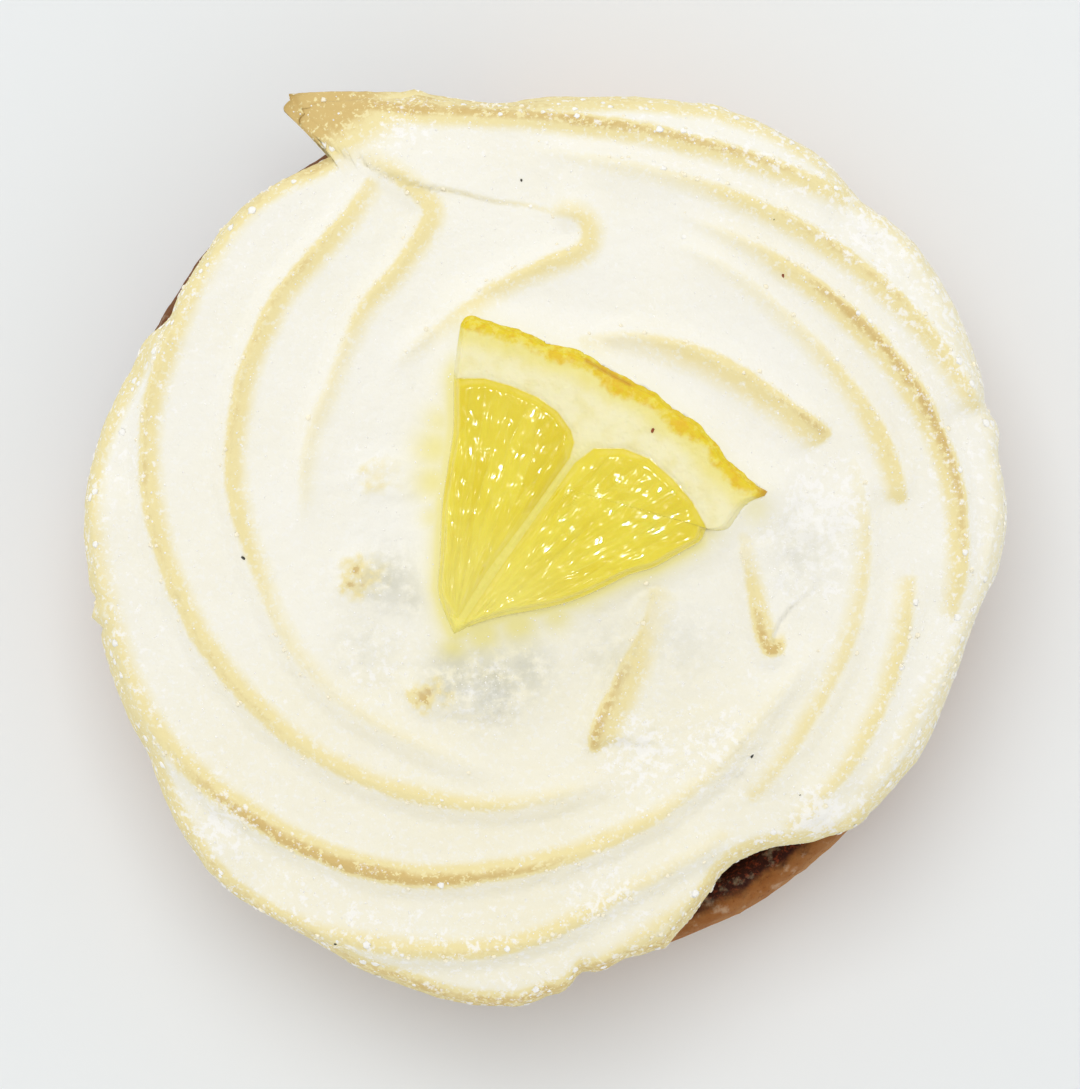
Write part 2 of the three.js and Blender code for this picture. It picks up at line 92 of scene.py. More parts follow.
def line_of(plan, spacing):
    """The smooth line through a few points in plan, as points a fixed length apart."""
    places = np.linspace(0, len(plan) - 1, 12 * (len(plan) - 1) + 1)
    points = np.stack([catmull([point[axis] for point in plan], places) for axis in (0, 1)], axis=1)
    steps = np.hypot(*np.diff(points, axis=0).T)
    along = np.concatenate([[0.0], np.cumsum(steps)])
    count = max(2, int(round(along[-1] / spacing)) + 1)
    places = np.linspace(0.0, along[-1], count)
    return np.stack([np.interp(places, along, points[:, axis]) for axis in (0, 1)], axis=1)


def nearest(line, x, y):
    """For every point: its distance to a line, how far along that is, and 1 on its left or -1."""
    starts = line[:-1]
    runs = np.diff(line, axis=0)
    lengths = np.hypot(runs[:, 0], runs[:, 1])
    begins = np.concatenate([[0.0], np.cumsum(lengths)])[:-1]
    distance, along, side = np.empty((3, len(x)))
    for block in np.array_split(np.arange(len(x)), max(1, len(x) // 2500)):
        px = x[block, None]
        py = y[block, None]
        t = ((px - starts[:, 0]) * runs[:, 0] + (py - starts[:, 1]) * runs[:, 1]) / lengths ** 2
        t = np.clip(t, 0.0, 1.0)
        nx = starts[:, 0] + t * runs[:, 0]
        ny = starts[:, 1] + t * runs[:, 1]
        apart = (px - nx) ** 2 + (py - ny) ** 2
        best = apart.argmin(axis=1)
        rows = np.arange(len(block))
        distance[block] = np.sqrt(apart[rows, best])
        along[block] = begins[best] + t[rows, best] * lengths[best]
        turn = (runs[best, 0] * (y[block] - ny[rows, best])
                - runs[best, 1] * (x[block] - nx[rows, best]))
        side[block] = np.where(turn > 0, 1.0, -1.0)
    return distance, along, side


def outside_of(polygon, x, y):
    """Signed distance to a polygon's edge, negative inside it."""
    corners = np.asarray(polygon, float)
    ring = np.vstack([corners, corners[:1]])
    distance, _, _ = nearest(ring, x, y)
    inside = np.zeros(len(x), bool)
    for (ax, ay), (bx, by) in zip(ring[:-1], ring[1:]):
        if ay != by:
            crosses = (ay > y) != (by > y)
            inside ^= crosses & (x < ax + (y - ay) * (bx - ax) / (by - ay))
    return np.where(inside, -distance, distance)


def rough(points, size, seed):
    """Soft noise from -1 to 1 at each point, with lumps of the given size."""
    shift = Vector((seed * 17.3, seed * 5.1, seed * 9.7))
    return np.array([noise.noise(Vector(p) / size + shift) for p in points.tolist()])


def on_plan(x, y):
    return np.column_stack([x, y, np.zeros(len(x))])


def peak(distance, width):
    """1 at no distance, falling like a bell to about a third at the width."""
    return np.exp(-(distance / width) ** 2)


def spots_at(spots, x, y):
    """The strongest of soft round spots, each a place in plan, a radius and how much."""
    value = np.zeros(len(x))
    for (cx, cy), radius, amount in spots:
        value = np.maximum(value, amount * peak(np.hypot(x - cx, y - cy), radius))
    return value


def from_core(x, y):
    """Distance and bearing from where the lemon's segments met."""
    dx = x - SLICE_CORE[0]
    dy = y - SLICE_CORE[1]
    return np.hypot(dx, dy), np.arctan2(dy, dx)


# ---- Sizes shared with the solids ---------------------------------------------------------

CASE_RADIUS = 40.3
CASE_FOOT_RADIUS = 38.9
CASE_OVAL = 0.3        # how far the hand-lined wall strays from round
CASE_OVAL_ANGLE = math.radians(142)
CASE_WAVE = 0.1
CASE_HEIGHT = 20.2
FILL_HEIGHT = 17.2
RIM_CREST_RADIUS = 38.5
RIM_INNER_RADIUS = 35.9
PROFILE_SPAN = 50.0    # more than any radius or height of the case

DOME_TOP = 35.4
DOME_DROP = 4.4
DOME_RADIUS = 43.0
EDGE_WIDTH = 3.0
EDGE_MIDDLE = 25.6
EDGE_SQUARENESS = 2.8
EDGE_FLUTE = 1.3
EDGE_FLUTE_TURN = 45.0
BODY_BOTTOM = 17.2

# Distance from the middle to the edge, every 12 degrees anticlockwise from +X.
EDGE_RADII = (
    43.1, 43.1, 43.6, 43.8, 42.8, 43.1, 41.7, 40.3, 40.0, 40.3, 39.6, 40.5, 39.7, 40.1, 41.4,
    41.9, 41.6, 41.5, 42.3, 43.8, 43.1, 43.7, 44.1, 41.5, 39.7, 35.7, 38.4, 40.7, 40.8, 41.1,
)

# Small bumps and nicks of the edge: angle, how far out, and half width in degrees.
EDGE_BUMPS = (
    (12.3, 0.5, 2.0), (15.7, -0.4, 2.0), (45.0, -0.3, 2.5), (52.5, 0.4, 3.0), (67.5, 0.3, 2.0),
    (94.0, -0.4, 4.0), (105.4, 0.5, 1.2), (150.0, -0.5, 2.0), (154.5, 0.3, 2.0),
    (188.7, -0.4, 0.8), (190.9, 0.4, 0.7), (192.5, -0.4, 0.8), (209.8, -0.35, 3.0),
    (218.5, 0.25, 3.0), (247.4, 0.25, 3.0), (268.5, 0.4, 3.0), (273.0, 0.5, 1.4),
    (275.8, -0.5, 1.4), (281.5, -0.4, 2.0), (287.0, 0.35, 1.0), (307.0, -0.5, 4.0),
    (316.5, 0.6, 3.0), (325.0, -0.2, 3.0), (354.0, 0.25, 3.0),
)

# The tail: the end of the piped rope, drawn out past the turn that it closes on.
TAIL_FROM = 96.0
TAIL_TIP = 116.9
TAIL_END = 118.0
TAIL_REACH = 6.2
TAIL_LEAN = 2.8       # degrees that its tip is pulled sideways
TAIL_LIFT = 9.0
TAIL_DROOP = 1.6
# The blunt knob that it ends in.
KNOB_ANGLE = 117.4
KNOB_REACH = 44.3
KNOB_RADIUS = 1.0

# The sides of a flute's line, seen along it.
LEFT = 1
RIGHT = -1


class Crest(NamedTuple):
    """One flute of the star nozzle, as a line in plan.

    fade is the length over which it rises at its start and sinks at its end. steep is the side
    of the line on which it drops sharply. toast says how brown it is at even steps along it,
    and spread how far the brown reaches down its gentle side.
    """
    name: str
    height: float
    fade: tuple
    steep: int
    toast: tuple
    plan: tuple
    spread: float = 1.0


def wound(start, step, *radii):
    """A plan that winds about the middle: one radius for every step of the angle."""
    angles = [math.radians(start + step * i) for i in range(len(radii))]
    places = np.linspace(0, len(radii) - 1, 4 * (len(radii) - 1) + 1)
    radius = catmull(radii, places)
    angle = catmull(angles, places)
    return np.stack([radius * np.cos(angle), radius * np.sin(angle)], axis=1)


CRESTS = (
    Crest("left outer", 1.6, (5, 9), RIGHT,
          (0.45, 0.6, 0.85, 0.95, 0.95, 0.9, 0.95, 0.85, 0.75, 0.5, 0.1),
          wound(118, 16, 39.6, 39.6, 38.0, 36.8, 34.5, 32.2, 30.1, 28.2, 26.5, 25.2, 23.8, 23.3)),
    Crest("left middle", 1.5, (4, 12), RIGHT,
          (0.5, 0.95, 1.0, 0.95, 0.9, 0.75, 0.5, 0.4, 0.4, 0.3, 0.05),
          ((-15.0, 32.5), (-15.8, 30.7), (-18.1, 27.6), (-23.1, 22.0), (-25.5, 17.3),
           (-27.0, 13.0), (-27.8, 7.8), (-27.6, 3.2), (-26.2, -1.8), (-22.8, -9.7),
           (-18.1, -15.1), (-12.0, -18.8), (-5.9, -21.3), (-0.1, -22.7))),
    Crest("left inner", 1.3, (4, 9), RIGHT, (0.35, 0.8, 0.85, 0.7, 0.45, 0.4, 0.3, 0.0),
          ((-16.9, 34.2), (-13.7, 32.7), (-10.5, 30.0), (-10.0, 28.3), (-12.7, 23.9),
           (-16.0, 20.0), (-18.3, 14.5), (-20.7, 8.3), (-21.2, 3.2), (-21.4, -2.2))),
    Crest("left rim to lower", 1.7, (4, 8), RIGHT,
          (0.5, 0.6, 0.7, 1.0, 1.4, 1.5, 1.3, 0.85, 0.5, 0.35, 0.1),
          wound(171, 19, 41.1, 39.8, 39.1, 36.6, 34.2, 31.0, 28.7, 27.3, 26.4, 27.6)),
    Crest("lower outer", 1.7, (4, 4), RIGHT, (0.5, 0.75, 0.95, 0.8, 0.5, 0.35),
          wound(231, 18, 43.0, 40.6, 37.8, 33.6, 32.4)),
    Crest("lower rim", 1.0, (2, 2), RIGHT, (0.5, 0.6, 0.4), wound(276, 11, 40.4, 37.6, 35.9)),
    Crest("tail", 1.2, (1, 3), LEFT, (1.5, 1.4, 1.25, 1.2, 1.25, 1.2, 1.05, 0.75),
          wound(120, -15, 45.0, 39.8, 37.8, 37.8, 39.2, 41.9)),
    Crest("upper", 1.5, (9, 2), LEFT, (0.1, 0.3, 0.4, 0.75, 1.0, 1.0, 0.85, 0.6),
          wound(95, -16, 34.8, 34.0, 34.9, 36.9, 39.3, 41.5)),
    Crest("right outer", 1.6, (8, 6), LEFT, (0.1, 0.4, 1.0, 1.3, 1.3, 1.2, 1.0, 0.5),
          wound(69, -16.5, 31.0, 32.3, 34.4, 36.8, 38.5, 38.5)),
    Crest("right middle", 1.2, (6, 2), LEFT, (0.05, 0.25, 0.35, 0.5, 0.65, 0.9, 0.8),
          wound(69, -13, 28.4, 29.1, 29.6, 30.6, 32.2, 33.2)),
    Crest("lower right", 1.2, (4, 4), LEFT, (0.5, 0.7, 0.7, 0.6, 0.55),
          wound(-6, -15, 34.0, 34.8, 35.4, 35.6)),
    Crest("lower right inner", 1.0, (4, 4), LEFT, (0.2, 0.45, 0.55, 0.6, 0.6, 0.5),
          wound(14, -16.5, 29.2, 29.8, 30.0, 30.1, 31.3)),
    Crest("right rim", 1.0, (3, 3), LEFT, (0.3, 0.3, 0.25, 0.3, 0.4, 0.4),
          wound(40, -16, 42.6, 41.6, 42.2, 40.6, 38.6, 38.2)),
    Crest("upper hook", 1.4, (2, 8), RIGHT, (0.35, 0.75, 0.8, 0.7, 0.6, 0.45, 0.25, 0.0),
          ((0.8, 28.9), (3.2, 28.7), (4.5, 27.4), (4.0, 25.7), (0.8, 24.2), (-3.3, 22.3),
           (-9.2, 18.1), (-12.4, 15.4), (-14.2, 12.9))),
    Crest("right hook", 1.8, (4, 2.5), LEFT, (0.3, 0.45, 0.75, 0.88, 0.95, 1.1),
          ((3.2, 17.0), (8.6, 17.5), (14.0, 16.3), (18.7, 14.0), (23.0, 11.1), (27.0, 8.1)), 1.3),
    Crest("lower right hook", 1.4, (2, 1.8), RIGHT, (0.3, 0.5, 0.95, 1.3, 1.35),
          ((18.3, 0.3), (18.9, -2.7), (20.0, -8.4), (20.6, -10.4), (21.3, -11.0), (22.1, -10.0)),
          0.8),
    Crest("lower hook", 1.8, (2, 2.5), RIGHT, (0.3, 0.6, 1.0, 1.15, 1.1),
          ((10.3, -4.5), (10.3, -6.7), (8.1, -12.0), (5.7, -16.9), (5.1, -19.1), (5.3, -20.4)),
          1.5),
)
CREST_SHIFT = 0.45     # the drop begins this far outside the line
CREST_OUTER_WIDTH = 1.7
CREST_INNER_WIDTH = 2.7
CREST_REACH = 14.0
END_SLANT = 0.2        # how much sooner a flute ends away from its line
MOST_TOAST = 1.5
LINE_SPACING = 0.9
LAST_TURN_STEP = 0.5
SEAM = (
    (-18.0, 34.6), (-15.6, 33.3), (-13.8, 32.4), (-11.0, 31.4), (-7.2, 30.7), (-4.0, 29.9),
    (-0.8, 29.5), (2.0, 28.7),
)


class Nose(NamedTuple):
    """The rounded end of a flute near the middle, seen from above as half an oval."""
    tip: tuple
    root: tuple
    half_width: float
    height: float
    toast: float


NOSES = (
    Nose((-18.7, -4.1), (-9.3, -4.7), 2.7, 0.85, 0.95),
    Nose((-12.1, -14.8), (2.0, -15.3), 2.0, 0.8, 1.15),
    Nose((-16.8, 4.8), (-8.8, 5.4), 2.2, 0.5, 0.45),
)

# The slice: its outline in plan, from the tip up the left side, round the rind and back.
SLICE_BOTTOM = 34.0
SLICE_TOP = 38.6
FLESH_RISE = 0.35
BANK_HEIGHT = 3.5      # how far up the slice's sides the meringue reaches
BANK_WIDTH = 4.2
BANK_SLOPE = 0.25
BANK_BLEND = 0.5
BANK_REACH = 8.0
SEAT = SLICE_BOTTOM - 0.15     # the meringue's level under the slice
SEAT_CLEARANCE = 0.45          # how far inside the outline it begins to rise
SEAT_STEEPNESS = 12.0
SLICE_BEVEL = 0.32
SLICE_WALL_ROWS = 26
RIND_SPACING = 0.4
THREAD_LENGTH = 2.2    # of the fine streaks in the flesh
THREAD_WIDTH = 0.75
SAC_SEED = 5
SAC_CELLS = 64         # the sacs' pattern repeats after so many
SLICE_LEFT_SIDE = (
    (-7.5, -9.2), (-8.3, -7.4), (-8.9, -5.2), (-8.7, -2.4), (-8.5, 2.1), (-8.0, 5.6), (-7.5, 9.2),
    (-7.5, 13.8), (-7.3, 15.7), (-6.9, 18.5),
)
SLICE_RIND = (
    (-6.6, 19.0), (-5.7, 19.2), (-3.7, 18.5), (-1.0, 17.7), (1.4, 16.6), (3.7, 16.1), (5.9, 14.8),
    (7.7, 13.8), (10.0, 12.7), (11.8, 11.2), (13.9, 9.9), (15.5, 8.3), (17.1, 6.2), (18.3, 5.2),
    (19.2, 4.4), (20.5, 3.5),
)
SLICE_RIGHT_SIDE = (
    (20.3, 3.1), (19.2, 2.7), (18.4, 2.1), (17.7, 1.1), (17.0, 0.2), (15.9, 0.0), (15.1, 0.2),
    (14.5, -0.9), (12.8, -1.9), (10.5, -3.2), (8.2, -3.9), (5.9, -5.0), (3.7, -6.0), (1.4, -6.7),
    (-1.0, -7.2), (-3.2, -7.6), (-5.5, -8.3), (-7.0, -9.0),
)
SLICE_MIDDLE = (1.5, 4.0)
SLICE_CORE = (-8.0, -10.5)     # where the lemon's segments met
MID_FLESH_RADIUS = 17.0        # from the core to the middle of the flesh
# Where the zest turns orange: the place in plan, its radius and how much.
BLUSH = (
    ((7.3, 13.0), 1.7, 1.0), ((9.6, 11.9), 1.2, 0.6), ((12.8, 9.5), 1.3, 0.85),
    ((2.2, 15.6), 1.3, 0.6), ((17.6, 5.0), 1.1, 0.6),
)
SCRATCH = ((4.4, 15.2), (6.0, 14.3), (8.2, 13.1))
PEEL_TIP = (20.5, 3.5)
LEFT_SEGMENT = (
    (-9.6, -7.0), (-9.8, 2.0), (-8.6, 9.0), (-7.9, 13.7), (-4.8, 13.7), (-2.3, 13.0), (0.0, 12.0),
    (1.8, 10.7), (3.0, 9.0), (3.3, 7.9), (2.9, 6.5), (-1.1, 0.9), (-4.6, -3.8), (-7.2, -8.0),
)
RIGHT_SEGMENT = (
    (-6.7, -8.2), (-4.0, -4.2), (-0.6, 0.6), (3.3, 6.1), (5.0, 7.4), (7.7, 7.4), (10.0, 6.5),
    (12.2, 4.6), (13.9, 2.6), (15.0, 0.6), (15.6, -1.2), (8.2, -5.2), (0.0, -8.6), (-6.0, -9.4),
)

# Photograph: how it is framed. The camera looks straight down.
CAMERA_PLACE = (0.19, -1.26, 480.0)
CAMERA_LENS = 162.7
SENSOR_WIDTH = 36.0
LIGHT_TARGET = (0, 0, 25)
FLOOR_REACH = 1.6      # metres from the middle to the floor's sides


# ---- Meshes -------------------------------------------------------------------------------

def new_object(name, mesh, material):
    piece = bpy.data.objects.new(name, mesh)
    bpy.context.scene.collection.objects.link(piece)
    if material is not None:
        mesh.materials.clear()
        mesh.materials.append(material)
    return piece


def skin(name, columns, first_pole, last_pole, material):
    """A closed smooth skin over columns of points, each from the first pole to the last."""
    count, rows, _ = columns.shape
    points = np.vstack([[first_pole], columns.reshape(-1, 3), [last_pole]]) * MM
    here = 1 + np.arange(count)[:, None] * rows + np.arange(rows)[None, :]
    there = np.roll(here, -1, axis=0)
    quads = np.stack([here[:, :-1], here[:, 1:], there[:, 1:], there[:, :-1]], axis=-1)
    last = len(points) - 1
    caps = [(0, a, b) for a, b in zip(here[:, 0].tolist(), there[:, 0].tolist())]
    caps += [(b, a, last) for a, b in zip(here[:, -1].tolist(), there[:, -1].tolist())]
    mesh = bpy.data.meshes.new(name)
    mesh.from_pydata(points.tolist(), [], quads.reshape(-1, 4).tolist() + caps)
    mesh.shade_smooth()
    return new_object(name, mesh, material)


def normals_of(columns):
    """Outward direction at each point of closed columns that run from the top down."""
    across = np.roll(columns, -1, axis=0) - np.roll(columns, 1, axis=0)
    down = np.gradient(columns, axis=1)
    normal = np.cross(down, across)
    return normal / np.maximum(np.linalg.norm(normal, axis=-1, keepdims=True), 1e-9)


def set_values(piece, values):
    """Stores numbers for each vertex, from pole to pole, which the materials read by name."""
    for name, (first, between, last) in values.items():
        attribute = piece.data.attributes.new(name, "FLOAT", "POINT")
        numbers = np.concatenate([[first], between, [last]])
        attribute.data.foreach_set("value", numbers.astype(np.float32))


# ---- Node trees ---------------------------------------------------------------------------

class Wire:
    """An output of a node. Sums are written with it as with a number, and each adds a node.

    An index gives another output of the same node, by name or number.
    """

    def __init__(self, tree, node, output=0):
        self.tree = tree
        self.node = node
        self.output = output

    def __getitem__(self, output):
        return Wire(self.tree, self.node, output)

    def __add__(self, other):
        return calc("ADD", self, other)

    def __sub__(self, other):
        return calc("SUBTRACT", self, other)

    def __rsub__(self, other):
        return calc("SUBTRACT", other, self)

    def __mul__(self, other):
        return calc("MULTIPLY", self, other)

    def __rtruediv__(self, other):
        return calc("DIVIDE", other, self)


def feed(made, inputs):
    """Sets inputs of a node, by name or number: a wire is linked and a value is set."""
    for key, value in inputs.items():
        if isinstance(value, Wire):
            made.tree.links.new(value.node.outputs[value.output], made.node.inputs[key])
        else:
            made.node.inputs[key].default_value = value


def add(tree, kind, inputs=None, **settings):
    """Adds a node with its settings and inputs, and gives its first output."""
    made = Wire(tree, tree.nodes.new(kind))
    for key, value in settings.items():
        setattr(made.node, key, value)
    feed(made, inputs or {})
    return made


def calc(operation, *terms, clamp=False):
    """A sum of wires and numbers, in the tree of its first wire."""
    tree = next(term.tree for term in terms if isinstance(term, Wire))
    return add(tree, "ShaderNodeMath", dict(enumerate(terms)), operation=operation,
               use_clamp=clamp)


def blend(share, first, second):
    """Mixes two colours. Each is a wire or a colour without alpha."""
    ends = [end if isinstance(end, Wire) else (*end[:3], 1.0) for end in (first, second)]
    return add(share.tree, "ShaderNodeMix", {0: share, 6: ends[0], 7: ends[1]},
               data_type="RGBA", blend_type="MIX", clamp_factor=True)[2]


def ramp(value, low, high, first=0.0, last=1.0, **settings):
    """Goes from the first number at low to the last at high, and stays there past both."""
    return add(value.tree, "ShaderNodeMapRange", {0: value, 1: low, 2: high, 3: first, 4: last},
               **settings)


def step(value, low, high):
    """0 below low and 1 above high, soft between them."""
    return ramp(value, low, high, interpolation_type="SMOOTHSTEP")


def lumps(place, size, detail=2.0, roughness=0.5, offset=0.0):
    """Noise from 0 to 1 with lumps of a size, in the units of the place."""
    if offset:
        place = add(place.tree, "ShaderNodeVectorMath",
                    {0: place, 1: (offset, offset * 2, offset * 3)}, operation="ADD")
    return add(place.tree, "ShaderNodeTexNoise", {
        "Vector": place, "Scale": 1 / size, "Detail": detail, "Roughness": roughness})


def scaled(vector, factor):
    return add(vector.tree, "ShaderNodeVectorMath", {0: vector, "Scale": factor},
               operation="SCALE")


def split(vector):
    return add(vector.tree, "ShaderNodeSeparateXYZ", {0: vector})


def read_value(tree, name):
    return add(tree, "ShaderNodeAttribute", attribute_name=name)["Fac"]


def new_tree(kind, name, inputs, outputs):
    """An empty group of nodes. Its sockets are numbers, but for those whose kind is given."""
    tree = bpy.data.node_groups.new(name, kind)
    for way, labels in (("INPUT", inputs), ("OUTPUT", outputs)):
        for label in labels:
            socket = "NodeSocket" + SOCKET_KINDS.get(label, "Float")
            tree.interface.new_socket(label, in_out=way, socket_type=socket)
    return tree, add(tree, "NodeGroupInput"), add(tree, "NodeGroupOutput")


GRAIN_SIZE = 1 / 4.5
SOCKET_KINDS = {
    "Vector": "Vector", "Geometry": "Geometry", "Material": "Material", "Value name": "String",
    "Sectors": "Int", "Rows": "Int", "Seed": "Int",
}


def mottle_group(name):
    """Uneven baking: a value that strays from 0.5 in wide blotches and in fine ones."""
    tree, given, result = new_tree("ShaderNodeTree", name, ("Vector", "Blotch", "Grain"), ("Value",))
    wide = lumps(given["Vector"], given["Blotch"], 3.0)
    fine = lumps(given["Vector"], given["Grain"], 4.0)
    feed(result, {"Value": (wide + fine) * 0.5})
    return tree


def dusting_group(name):
    """Icing sugar: a mask that is 1 where its amount beats a noise of clumps and grains."""
    tree, given, result = new_tree("ShaderNodeTree", name,
                                   ("Vector", "Amount", "Clump", "Softness"), ("Mask", "Height"))
    clumps = lumps(given["Vector"], given["Clump"], 4.0, 0.62)
    over = ramp(clumps, 0.28, 0.72) + given["Amount"] - 1.0
    mask = calc("DIVIDE", over, given["Softness"], clamp=True)
    grains = lumps(given["Vector"], GRAIN_SIZE)
    feed(result, {"Mask": mask, "Height": mask * grains})
    return tree


def pores_group(name):
    """The fine surface of dough, meringue or zest: small lumps with sharp little pits."""
    tree, given, result = new_tree("ShaderNodeTree", name, ("Vector", "Size", "Pits"), ("Height",))
    cells = add(tree, "ShaderNodeTexVoronoi", {
        "Vector": given["Vector"], "Scale": 1 / given["Size"]})
    pits = (ramp(cells, 0.0, 0.35) - 1.0) * given["Pits"]
    feed(result, {"Height": lumps(given["Vector"], given["Size"], 3.0) + pits})
    return tree


SHARED = {"Uneven baking": mottle_group, "Icing sugar dusting": dusting_group,
          "Fine pores": pores_group}


def shared(name, place, **inputs):
    """A shader group that several materials use, made when it is first needed."""
    group = bpy.data.node_groups.get(name) or SHARED[name](name)
    return add(place.tree, "ShaderNodeGroup", {"Vector": place, **inputs}, node_tree=group)


def new_material(name, slot_colour):
    """A material, its shader, and the place of each point in millimetres."""
    material = bpy.data.materials.new(name)
    material.use_nodes = True
    material.diffuse_color = (*slot_colour[:3], 1.0)
    tree = material.node_tree
    tree.nodes.clear()
    shader = add(tree, "ShaderNodeBsdfPrincipled")
    add(tree, "ShaderNodeOutputMaterial", {0: shader})
    return material, shader, scaled(add(tree, "ShaderNodeTexCoord")["Object"], 1 / MM)


def finish_shader(shader, inputs, height=None, depth=0.0):
    """Sets the shader's inputs, and its bump from a height, with a depth in millimetres."""
    feed(shader, inputs)
    if height:
        feed(shader, {"Normal": add(shader.tree, "ShaderNodeBump", {
            "Height": height, "Distance": depth * MM, "Strength": 1.0})})


def finish_geometry(given, result, geometry):
    """Ends a geometry tree: everything in it becomes one real, smooth mesh with its material."""
    tree = given.tree
    real = add(tree, "GeometryNodeRealizeInstances", {0: geometry})
    shaded = add(tree, "GeometryNodeSetShadeSmooth", {0: real})
    painted = add(tree, "GeometryNodeSetMaterial", {0: shaded, "Material": given["Material"]})
    feed(result, {0: painted})
    return tree


def grown_by(tree, name, base, values, material):
    """Runs a geometry tree on a mesh and returns what comes out as a plain mesh object."""
    host = new_object(name + "_host", base, None)
    modifier = host.modifiers.new("Build", "NODES")
    modifier.node_group = tree
    for item in tree.interface.items_tree:
        if item.in_out == "INPUT" and item.name in values:
            modifier[item.identifier] = values[item.name]
    made = bpy.data.meshes.new_from_object(
        host.evaluated_get(bpy.context.evaluated_depsgraph_get()))
    host.modifiers.remove(modifier)
    bpy.data.objects.remove(host)
    made.name = name
    return new_object(name, made, material)


# ---- Settings -----------------------------------------------------------------------------

def colour_setting(name, description, *shown):
    return FloatVectorProperty(name=name, description=description, default=paint(*shown),
                               subtype="COLOR")


def size_setting(name, description, millimetres):
    return FloatProperty(name=name, description=description, default=millimetres * MM,
                         unit="LENGTH", precision=5)


# ---- Pastry case --------------------------------------------------------------------------

class CaseSettings(bpy.types.PropertyGroup):
    """Sizes and colours of the pastry case."""
    sectors: IntProperty(name="Sectors", description="Faces round the case", default=440, min=48)
    rows: IntProperty(name="Rows", description="Faces from the top's middle to the foot's middle",
                      default=170, min=40)
    crumb: size_setting("Crumb", "Depth of the crumbly relief", 0.22)
    crust: colour_setting("Crust", "Colour of the baked wall", 186, 128, 70)
    pale: colour_setting("Pale crust", "Colour of its less baked parts", 214, 166, 106)
    # Also painted shade: the inner rim under the meringue's overhang takes this colour.
    dark: colour_setting("Dark crust", "Colour of the deep-baked inner rim", 52, 18, 12)


def case_profile():
    """Radius and height from the middle of the top, over the rim, to the middle of the foot."""
    top = CASE_HEIGHT
    outer = CASE_RADIUS
    inner = RIM_INNER_RADIUS
    return (
        (0.0, FILL_HEIGHT), (inner - 0.5, FILL_HEIGHT), (inner + 0.1, FILL_HEIGHT + 0.5),
        (inner + 0.9, top - 0.9), (RIM_CREST_RADIUS - 0.8, top - 0.15),
        (RIM_CREST_RADIUS + 0.3, top), (outer - 0.6, top - 0.6), (outer, top - 2.0),
        (outer - 0.2, top - 6.0), (CASE_FOOT_RADIUS, 1.2), (CASE_FOOT_RADIUS - 0.9, 0.0),
        (0.0, 0.0),
    )


def profile_curve(share, values, places):
    """The profile's radius or height at a share of the way along it, from a curve node."""
    made = add(share.tree, "ShaderNodeFloatCurve", {"Value": share})
    mapping = made.node.mapping
    points = mapping.curves[0].points
    while len(points) < len(values):
        points.new(0.5, 0.5)
    for point, value, place in zip(points, values, places):
        point.location = (place, value / PROFILE_SPAN)
        point.handle_type = "VECTOR"
    mapping.update()
    return made * (PROFILE_SPAN * MM)


def case_tree():
    """Sweeps the case's profile round, gives it a crumbly relief and closes it."""
    tree, given, result = new_tree("GeometryNodeTree", "Pastry case", (
        "Geometry", "Sectors", "Rows", "Crumb", "Material"), ("Geometry",))
    grid = add(tree, "GeometryNodeMeshGrid", {
        "Size X": 1.0, "Size Y": 1.0,
        "Vertices X": given["Sectors"] + 1.0, "Vertices Y": given["Rows"] + 1.0})
    flat = split(add(tree, "GeometryNodeInputPosition"))
    turn = (flat["X"] + 0.5) * (-2 * math.pi)
    share = flat["Y"] + 0.5
    profile = np.array(case_profile())
    lengths = np.hypot(*np.diff(profile, axis=0).T)
    lengths[[0, -1]] *= 0.3
    places = np.concatenate([[0.0], np.cumsum(lengths)]) / lengths.sum()
    radius = profile_curve(share, profile[:, 0], places)
    oval = calc("COSINE", turn * 2.0 + -2 * CASE_OVAL_ANGLE)
    wave = calc("SINE", turn * 5.0 + 2.0)
    stray = wave * (CASE_WAVE * MM) + oval * (CASE_OVAL * MM)
    radius = stray * ramp(radius, 30.0 * MM, 36.5 * MM) + radius
    point = add(tree, "ShaderNodeCombineXYZ", {
        "X": radius * calc("COSINE", turn), "Y": radius * calc("SINE", turn),
        "Z": profile_curve(share, profile[:, 1], places)})
    swept = add(tree, "GeometryNodeSetPosition", {"Geometry": grid, "Position": point})
    closed = add(tree, "GeometryNodeMergeByDistance", {"Geometry": swept, "Distance": 0.004 * MM})
    place = add(tree, "GeometryNodeInputPosition")
    wall = lumps(place, 7.0 * MM, 1.0) - 0.5
    crumbs = lumps(place, 1.5 * MM, 3.0, 0.6) - 0.56
    rise = (wall * 1.2 + crumbs) * ramp(split(place)["Z"], 0.0, 1.5 * MM)
    push = scaled(add(tree, "GeometryNodeInputNormal"), rise * (given["Crumb"] * 2.0))
    moved = add(tree, "GeometryNodeSetPosition", {"Geometry": closed, "Offset": push})
    return finish_geometry(given, result, moved)


